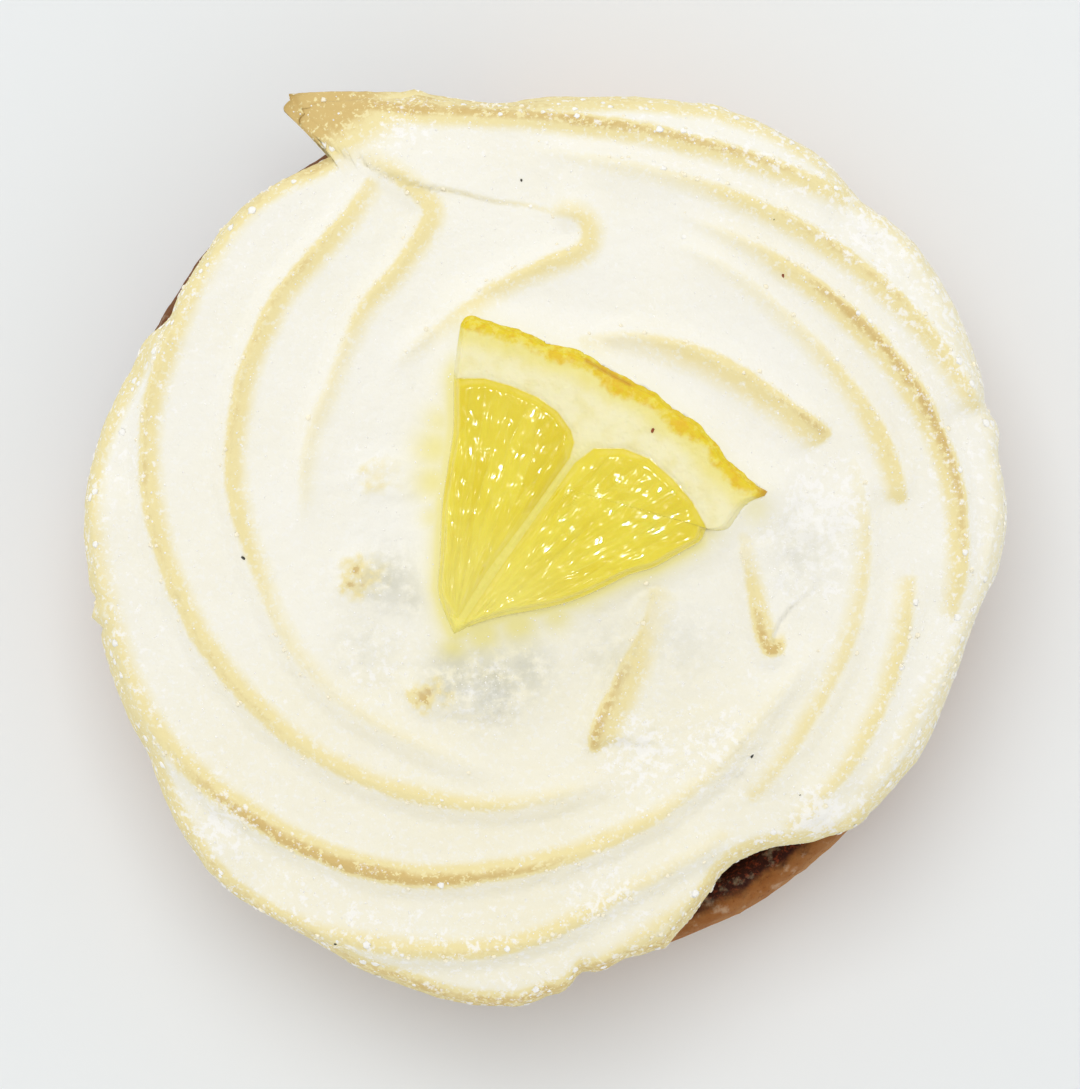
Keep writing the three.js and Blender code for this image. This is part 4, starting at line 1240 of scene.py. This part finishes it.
def scatter_tree(name, detail):
    """Scatters uneven grains over a mesh, more where one of the mesh's values is higher."""
    tree, given, result = new_tree("GeometryNodeTree", name, (
        "Geometry", "Density", "Largest", "Smallest", "Flatness", "Value name", "Seed",
        "Material"), ("Geometry",))
    value = add(tree, "GeometryNodeInputNamedAttribute", {"Name": given["Value name"]},
                data_type="FLOAT")
    points = add(tree, "GeometryNodeDistributePointsOnFaces", {
        "Mesh": given["Geometry"], "Density": value * given["Density"], "Seed": given["Seed"]})
    shapes = add(tree, "GeometryNodeJoinGeometry")
    for variant in range(GRAIN_SHAPES):
        ball = add(tree, "GeometryNodeMeshIcoSphere", {"Radius": 1.0, "Subdivisions": detail})
        place = add(tree, "GeometryNodeInputPosition")
        lump = add(tree, "ShaderNodeTexNoise", {
            "Vector": place, "W": variant * 3.7, "Scale": 1.4, "Detail": 1.0},
            noise_dimensions="4D")
        bent = add(tree, "GeometryNodeSetPosition", {
            "Geometry": ball, "Position": scaled(place, lump * 1.5 + 0.25)})
        whole = add(tree, "GeometryNodeGeometryToInstance", {0: bent})
        feed(shapes, {0: whole})
    size = add(tree, "FunctionNodeRandomValue", {"Min": 0.0, "Max": 1.0, "Seed": given["Seed"]},
               data_type="FLOAT")
    draw = size[[socket.enabled for socket in size.node.outputs].index(True)]
    span = given["Largest"] - given["Smallest"]
    radius = calc("POWER", draw, 2.2) * span + given["Smallest"]
    scale = add(tree, "ShaderNodeCombineXYZ", {
        "X": radius, "Y": radius, "Z": radius * given["Flatness"]})
    placed = add(tree, "GeometryNodeInstanceOnPoints", {
        "Points": points["Points"], "Instance": shapes, "Pick Instance": True,
        "Rotation": points["Rotation"], "Scale": scale})
    return finish_geometry(given, result, placed)


def sugar_material(name, colour, roughness, coat):
    """Icing sugar or set syrup: white, faintly uneven, a little translucent."""
    material, shader, place = new_material(name, colour)
    shadow = [channel * 0.93 for channel in colour]
    uneven = step(shared("Uneven baking", place, Blotch=2.0, Grain=0.3), 0.4, 0.62)
    finish_shader(shader, {"Base Color": blend(uneven, shadow, colour), "Roughness": roughness,
                           "Coat Weight": coat, "Coat Roughness": 0.08},
                  shared("Fine pores", place, Size=0.16, Pits=0.3), 0.02)
    return material


class TART_OT_sugar(bpy.types.Operator):
    """Scatter the icing sugar and the beads of syrup over the meringue"""
    bl_idname = "tart.sugar"
    bl_label = "Icing Sugar and Beads"

    def execute(self, context):
        settings = context.scene.tart_sugar
        powder = sugar_material("icing sugar", tuple(settings.white), 0.85, 0.0)
        syrup = sugar_material("set sugar beads", paint(248, 240, 214), 0.35, 0.5)
        fine = scatter_tree("Scattered grains", 1)
        round_ones = scatter_tree("Scattered lumps", 2)
        base = bpy.data.objects["meringue_swirl"].data
        for name, tree, material, value, density, largest, smallest, flatness, seed in (
                ("sugar_beads", round_ones, syrup, "bead", settings.beads, settings.bead_size,
                 0.08 * MM, 0.7, 3),
                ("sugar_clumps", round_ones, powder, "clump", settings.clumps,
                 settings.clump_size, 0.1 * MM, 0.24, 8),
                ("sugar_grains", fine, powder, "sugar", settings.grains, settings.grain_size,
                 0.05 * MM, 0.45, 5)):
            piece = grown_by(tree, name, base, {
                "Density": density, "Largest": largest, "Smallest": smallest,
                "Flatness": flatness, "Value name": value, "Seed": seed,
                "Material": material}, material)
            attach(piece, BODY)
        return {"FINISHED"}


# ---- Small specks -------------------------------------------------------------------------

class Speck(NamedTuple):
    """A small burnt or dark fleck: its place in plan, its length and its colour."""
    place: tuple
    length: float
    colour: str


SPECKS = (
    Speck((-1.5, 31.8), 0.42, "black"), Speck((22.2, 23.1), 0.5, "red"),
    Speck((19.4, -20.4), 0.55, "black"), Speck((-18.4, -37.6), 0.42, "black"),
    Speck((-26.6, -2.5), 0.6, "black"), Speck((23.8, -24.0), 0.2, "black"),
    Speck((21.4, 28.2), 0.18, "black"), Speck((10.3, 8.97), 0.62, "red"),
)
SPECK_SIDES = 7


def speck_piece(name, specks, material):
    """Flakes that lie on what is under them, each a small uneven wedge."""
    depsgraph = bpy.context.evaluated_depsgraph_get()
    draw = np.random.default_rng(21)
    points = []
    faces = []
    for speck in specks:
        x, y = speck.place
        start = Vector((x * MM, y * MM, 80 * MM))
        hit, spot, *_ = bpy.context.scene.ray_cast(depsgraph, start, Vector((0, 0, -1)))
        if not hit:
            raise RuntimeError(f"no surface under the speck at {speck.place}")
        turn = draw.uniform(0, 2 * math.pi)
        low = len(points)
        high = low + SPECK_SIDES
        for level, share in ((-0.06, 1.0), (0.1, 0.62)):
            for i in range(SPECK_SIDES):
                angle = 2 * math.pi * i / SPECK_SIDES
                reach = speck.length * 0.5 * share * draw.uniform(0.75, 1.1)
                u = reach * math.cos(angle)
                v = reach * 0.6 * math.sin(angle)
                px = spot.x + (u * math.cos(turn) - v * math.sin(turn)) * MM
                py = spot.y + (u * math.sin(turn) + v * math.cos(turn)) * MM
                points.append((px, py, spot.z + level * MM * draw.uniform(0.8, 1.3)))
        for i in range(SPECK_SIDES):
            j = (i + 1) % SPECK_SIDES
            faces.append((low + i, low + j, high + j, high + i))
        faces.append(tuple(low + i for i in reversed(range(SPECK_SIDES))))
        faces.append(tuple(high + i for i in range(SPECK_SIDES)))
    mesh = bpy.data.meshes.new(name)
    mesh.from_pydata(points, [], faces)
    return new_object(name, mesh, material)


def speck_material(name, light, dark):
    """Charred sugar or crumb, uneven in colour."""
    material, shader, place = new_material(name, dark)
    uneven = step(shared("Uneven baking", place, Blotch=0.4, Grain=0.1), 0.4, 0.6)
    finish_shader(shader, {"Base Color": blend(uneven, dark, light), "Roughness": 0.6},
                  shared("Fine pores", place, Size=0.12, Pits=0.4), 0.02)
    return material


class TART_OT_specks(bpy.types.Operator):
    """Lay the few dark specks on the meringue and the lemon"""
    bl_idname = "tart.specks"
    bl_label = "Dark Specks"

    def execute(self, context):
        looks = {
            "black": speck_material("charred speck", paint(70, 66, 50), paint(24, 24, 18)),
            "red": speck_material("red-brown speck", paint(150, 70, 24), paint(92, 30, 10)),
        }
        for colour, material in looks.items():
            chosen = [speck for speck in SPECKS if speck.colour == colour]
            piece = speck_piece(f"specks_{colour}", chosen, material)
            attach(piece, BODY)
        return {"FINISHED"}


# ---- Stage --------------------------------------------------------------------------------

class StageSettings(bpy.types.PropertyGroup):
    """Floor, lights and camera."""
    floor: colour_setting("Floor", "Colour of the floor", 231, 234, 235)
    sky: FloatProperty(name="Sky", description="Strength of the light from above", default=0.58)
    horizon: FloatProperty(name="Horizon", description="Strength of the light from the sides",
                           default=1.5)
    key: FloatProperty(name="Key", description="Power of the large light", default=4.6,
                       unit="POWER")
    sparkle: FloatProperty(name="Sparkle", description="Power of the light that wet faces catch",
                           default=0.8, unit="POWER")


def floor_material(settings):
    """A smooth pale table top, with the faintest unevenness."""
    material, shader, place = new_material("pale floor", settings.floor)
    shaded = [channel * 0.985 for channel in settings.floor]
    finish_shader(shader, {"Base Color": blend(lumps(place, 60.0), shaded, settings.floor),
                           "Roughness": 0.7, "Specular IOR Level": 0.2})
    return material


def area_light(name, power, size, place, shines):
    """A square light at a place in millimetres that looks at the tart, seen in gloss or not."""
    data = bpy.data.lights.new(name, "AREA")
    data.energy = power
    data.size = size * MM
    light = bpy.data.objects.new(name, data)
    light.location = Vector(place) * MM
    light.rotation_mode = "QUATERNION"
    towards = light.location - Vector(LIGHT_TARGET) * MM
    light.rotation_quaternion = towards.to_track_quat("Z", "Y")
    light.visible_camera = False
    light.visible_glossy = shines
    light.visible_diffuse = not shines
    bpy.context.scene.collection.objects.link(light)


class TART_OT_stage(bpy.types.Operator):
    """Set up the floor, the soft light and the camera that looks straight down"""
    bl_idname = "tart.stage"
    bl_label = "Stage"

    def execute(self, context):
        settings = context.scene.tart_stage
        scene = context.scene
        mesh = bpy.data.meshes.new("floor")
        signs = ((-1, -1), (1, -1), (1, 1), (-1, 1))
        corners = [(u * FLOOR_REACH, v * FLOOR_REACH, 0) for u, v in signs]
        mesh.from_pydata(corners, [], [(0, 1, 2, 3)])
        new_object("floor", mesh, floor_material(settings))
        world = bpy.data.worlds.new("studio")
        world.use_nodes = True
        tree = world.node_tree
        upward = split(add(tree, "ShaderNodeTexCoord")["Generated"])["Z"]
        feed(Wire(tree, tree.nodes["Background"]), {
            "Color": (0.99, 0.995, 1.0, 1.0),
            "Strength": ramp(upward, 0.0, 0.6, settings.horizon, settings.sky)})
        scene.world = world
        area_light("key", settings.key, 500, (-65, 250, 1000), False)
        area_light("sparkle", settings.sparkle, 14, (60, 130, 640), True)
        camera = bpy.data.cameras.new("camera")
        camera.lens = CAMERA_LENS
        camera.sensor_width = SENSOR_WIDTH
        camera.clip_start = 0.01
        camera.clip_end = 20.0
        placed = bpy.data.objects.new("camera", camera)
        placed.location = Vector(CAMERA_PLACE) * MM
        scene.collection.objects.link(placed)
        scene.camera = placed
        scene.view_settings.view_transform = "Standard"
        return {"FINISHED"}


# ---- Add-on -------------------------------------------------------------------------------

class TART_PT_panel(bpy.types.Panel):
    """Lists the pieces of the tart"""
    bl_idname = "TART_PT_panel"
    bl_label = "Lemon Tart"
    bl_space_type = "VIEW_3D"
    bl_region_type = "UI"
    bl_category = "Tart"

    def draw(self, context):
        for operator, settings in STEPS:
            box = self.layout.box()
            box.operator(operator.bl_idname)
            group = getattr(context.scene, settings, None) if settings else None
            if group is not None:
                for name in group.bl_rna.properties.keys():
                    if name not in ("rna_type", "name"):
                        box.prop(group, name)


SETTINGS = {
    "tart_case": CaseSettings, "tart_swirl": SwirlSettings, "tart_lemon": LemonSettings,
    "tart_sugar": SugarSettings, "tart_stage": StageSettings,
}
STEPS = (
    (TART_OT_case, "tart_case"), (TART_OT_swirl, "tart_swirl"), (TART_OT_lemon, "tart_lemon"),
    (TART_OT_sugar, "tart_sugar"), (TART_OT_specks, ""), (TART_OT_stage, "tart_stage"),
)


def register():
    for group in SETTINGS.values():
        bpy.utils.register_class(group)
    for operator, _ in STEPS:
        bpy.utils.register_class(operator)
    bpy.utils.register_class(TART_PT_panel)
    for name, group in SETTINGS.items():
        setattr(bpy.types.Scene, name, PointerProperty(type=group))


def unregister():
    for name in SETTINGS:
        delattr(bpy.types.Scene, name)
    bpy.utils.unregister_class(TART_PT_panel)
    for operator, _ in reversed(STEPS):
        bpy.utils.unregister_class(operator)
    for group in reversed(SETTINGS.values()):
        bpy.utils.unregister_class(group)


def main():
    """Builds every piece in order."""
    register()
    for operator, _ in STEPS:
        group, name = operator.bl_idname.split(".")
        getattr(getattr(bpy.ops, group), name)()


if __name__ == "__main__":
    main()
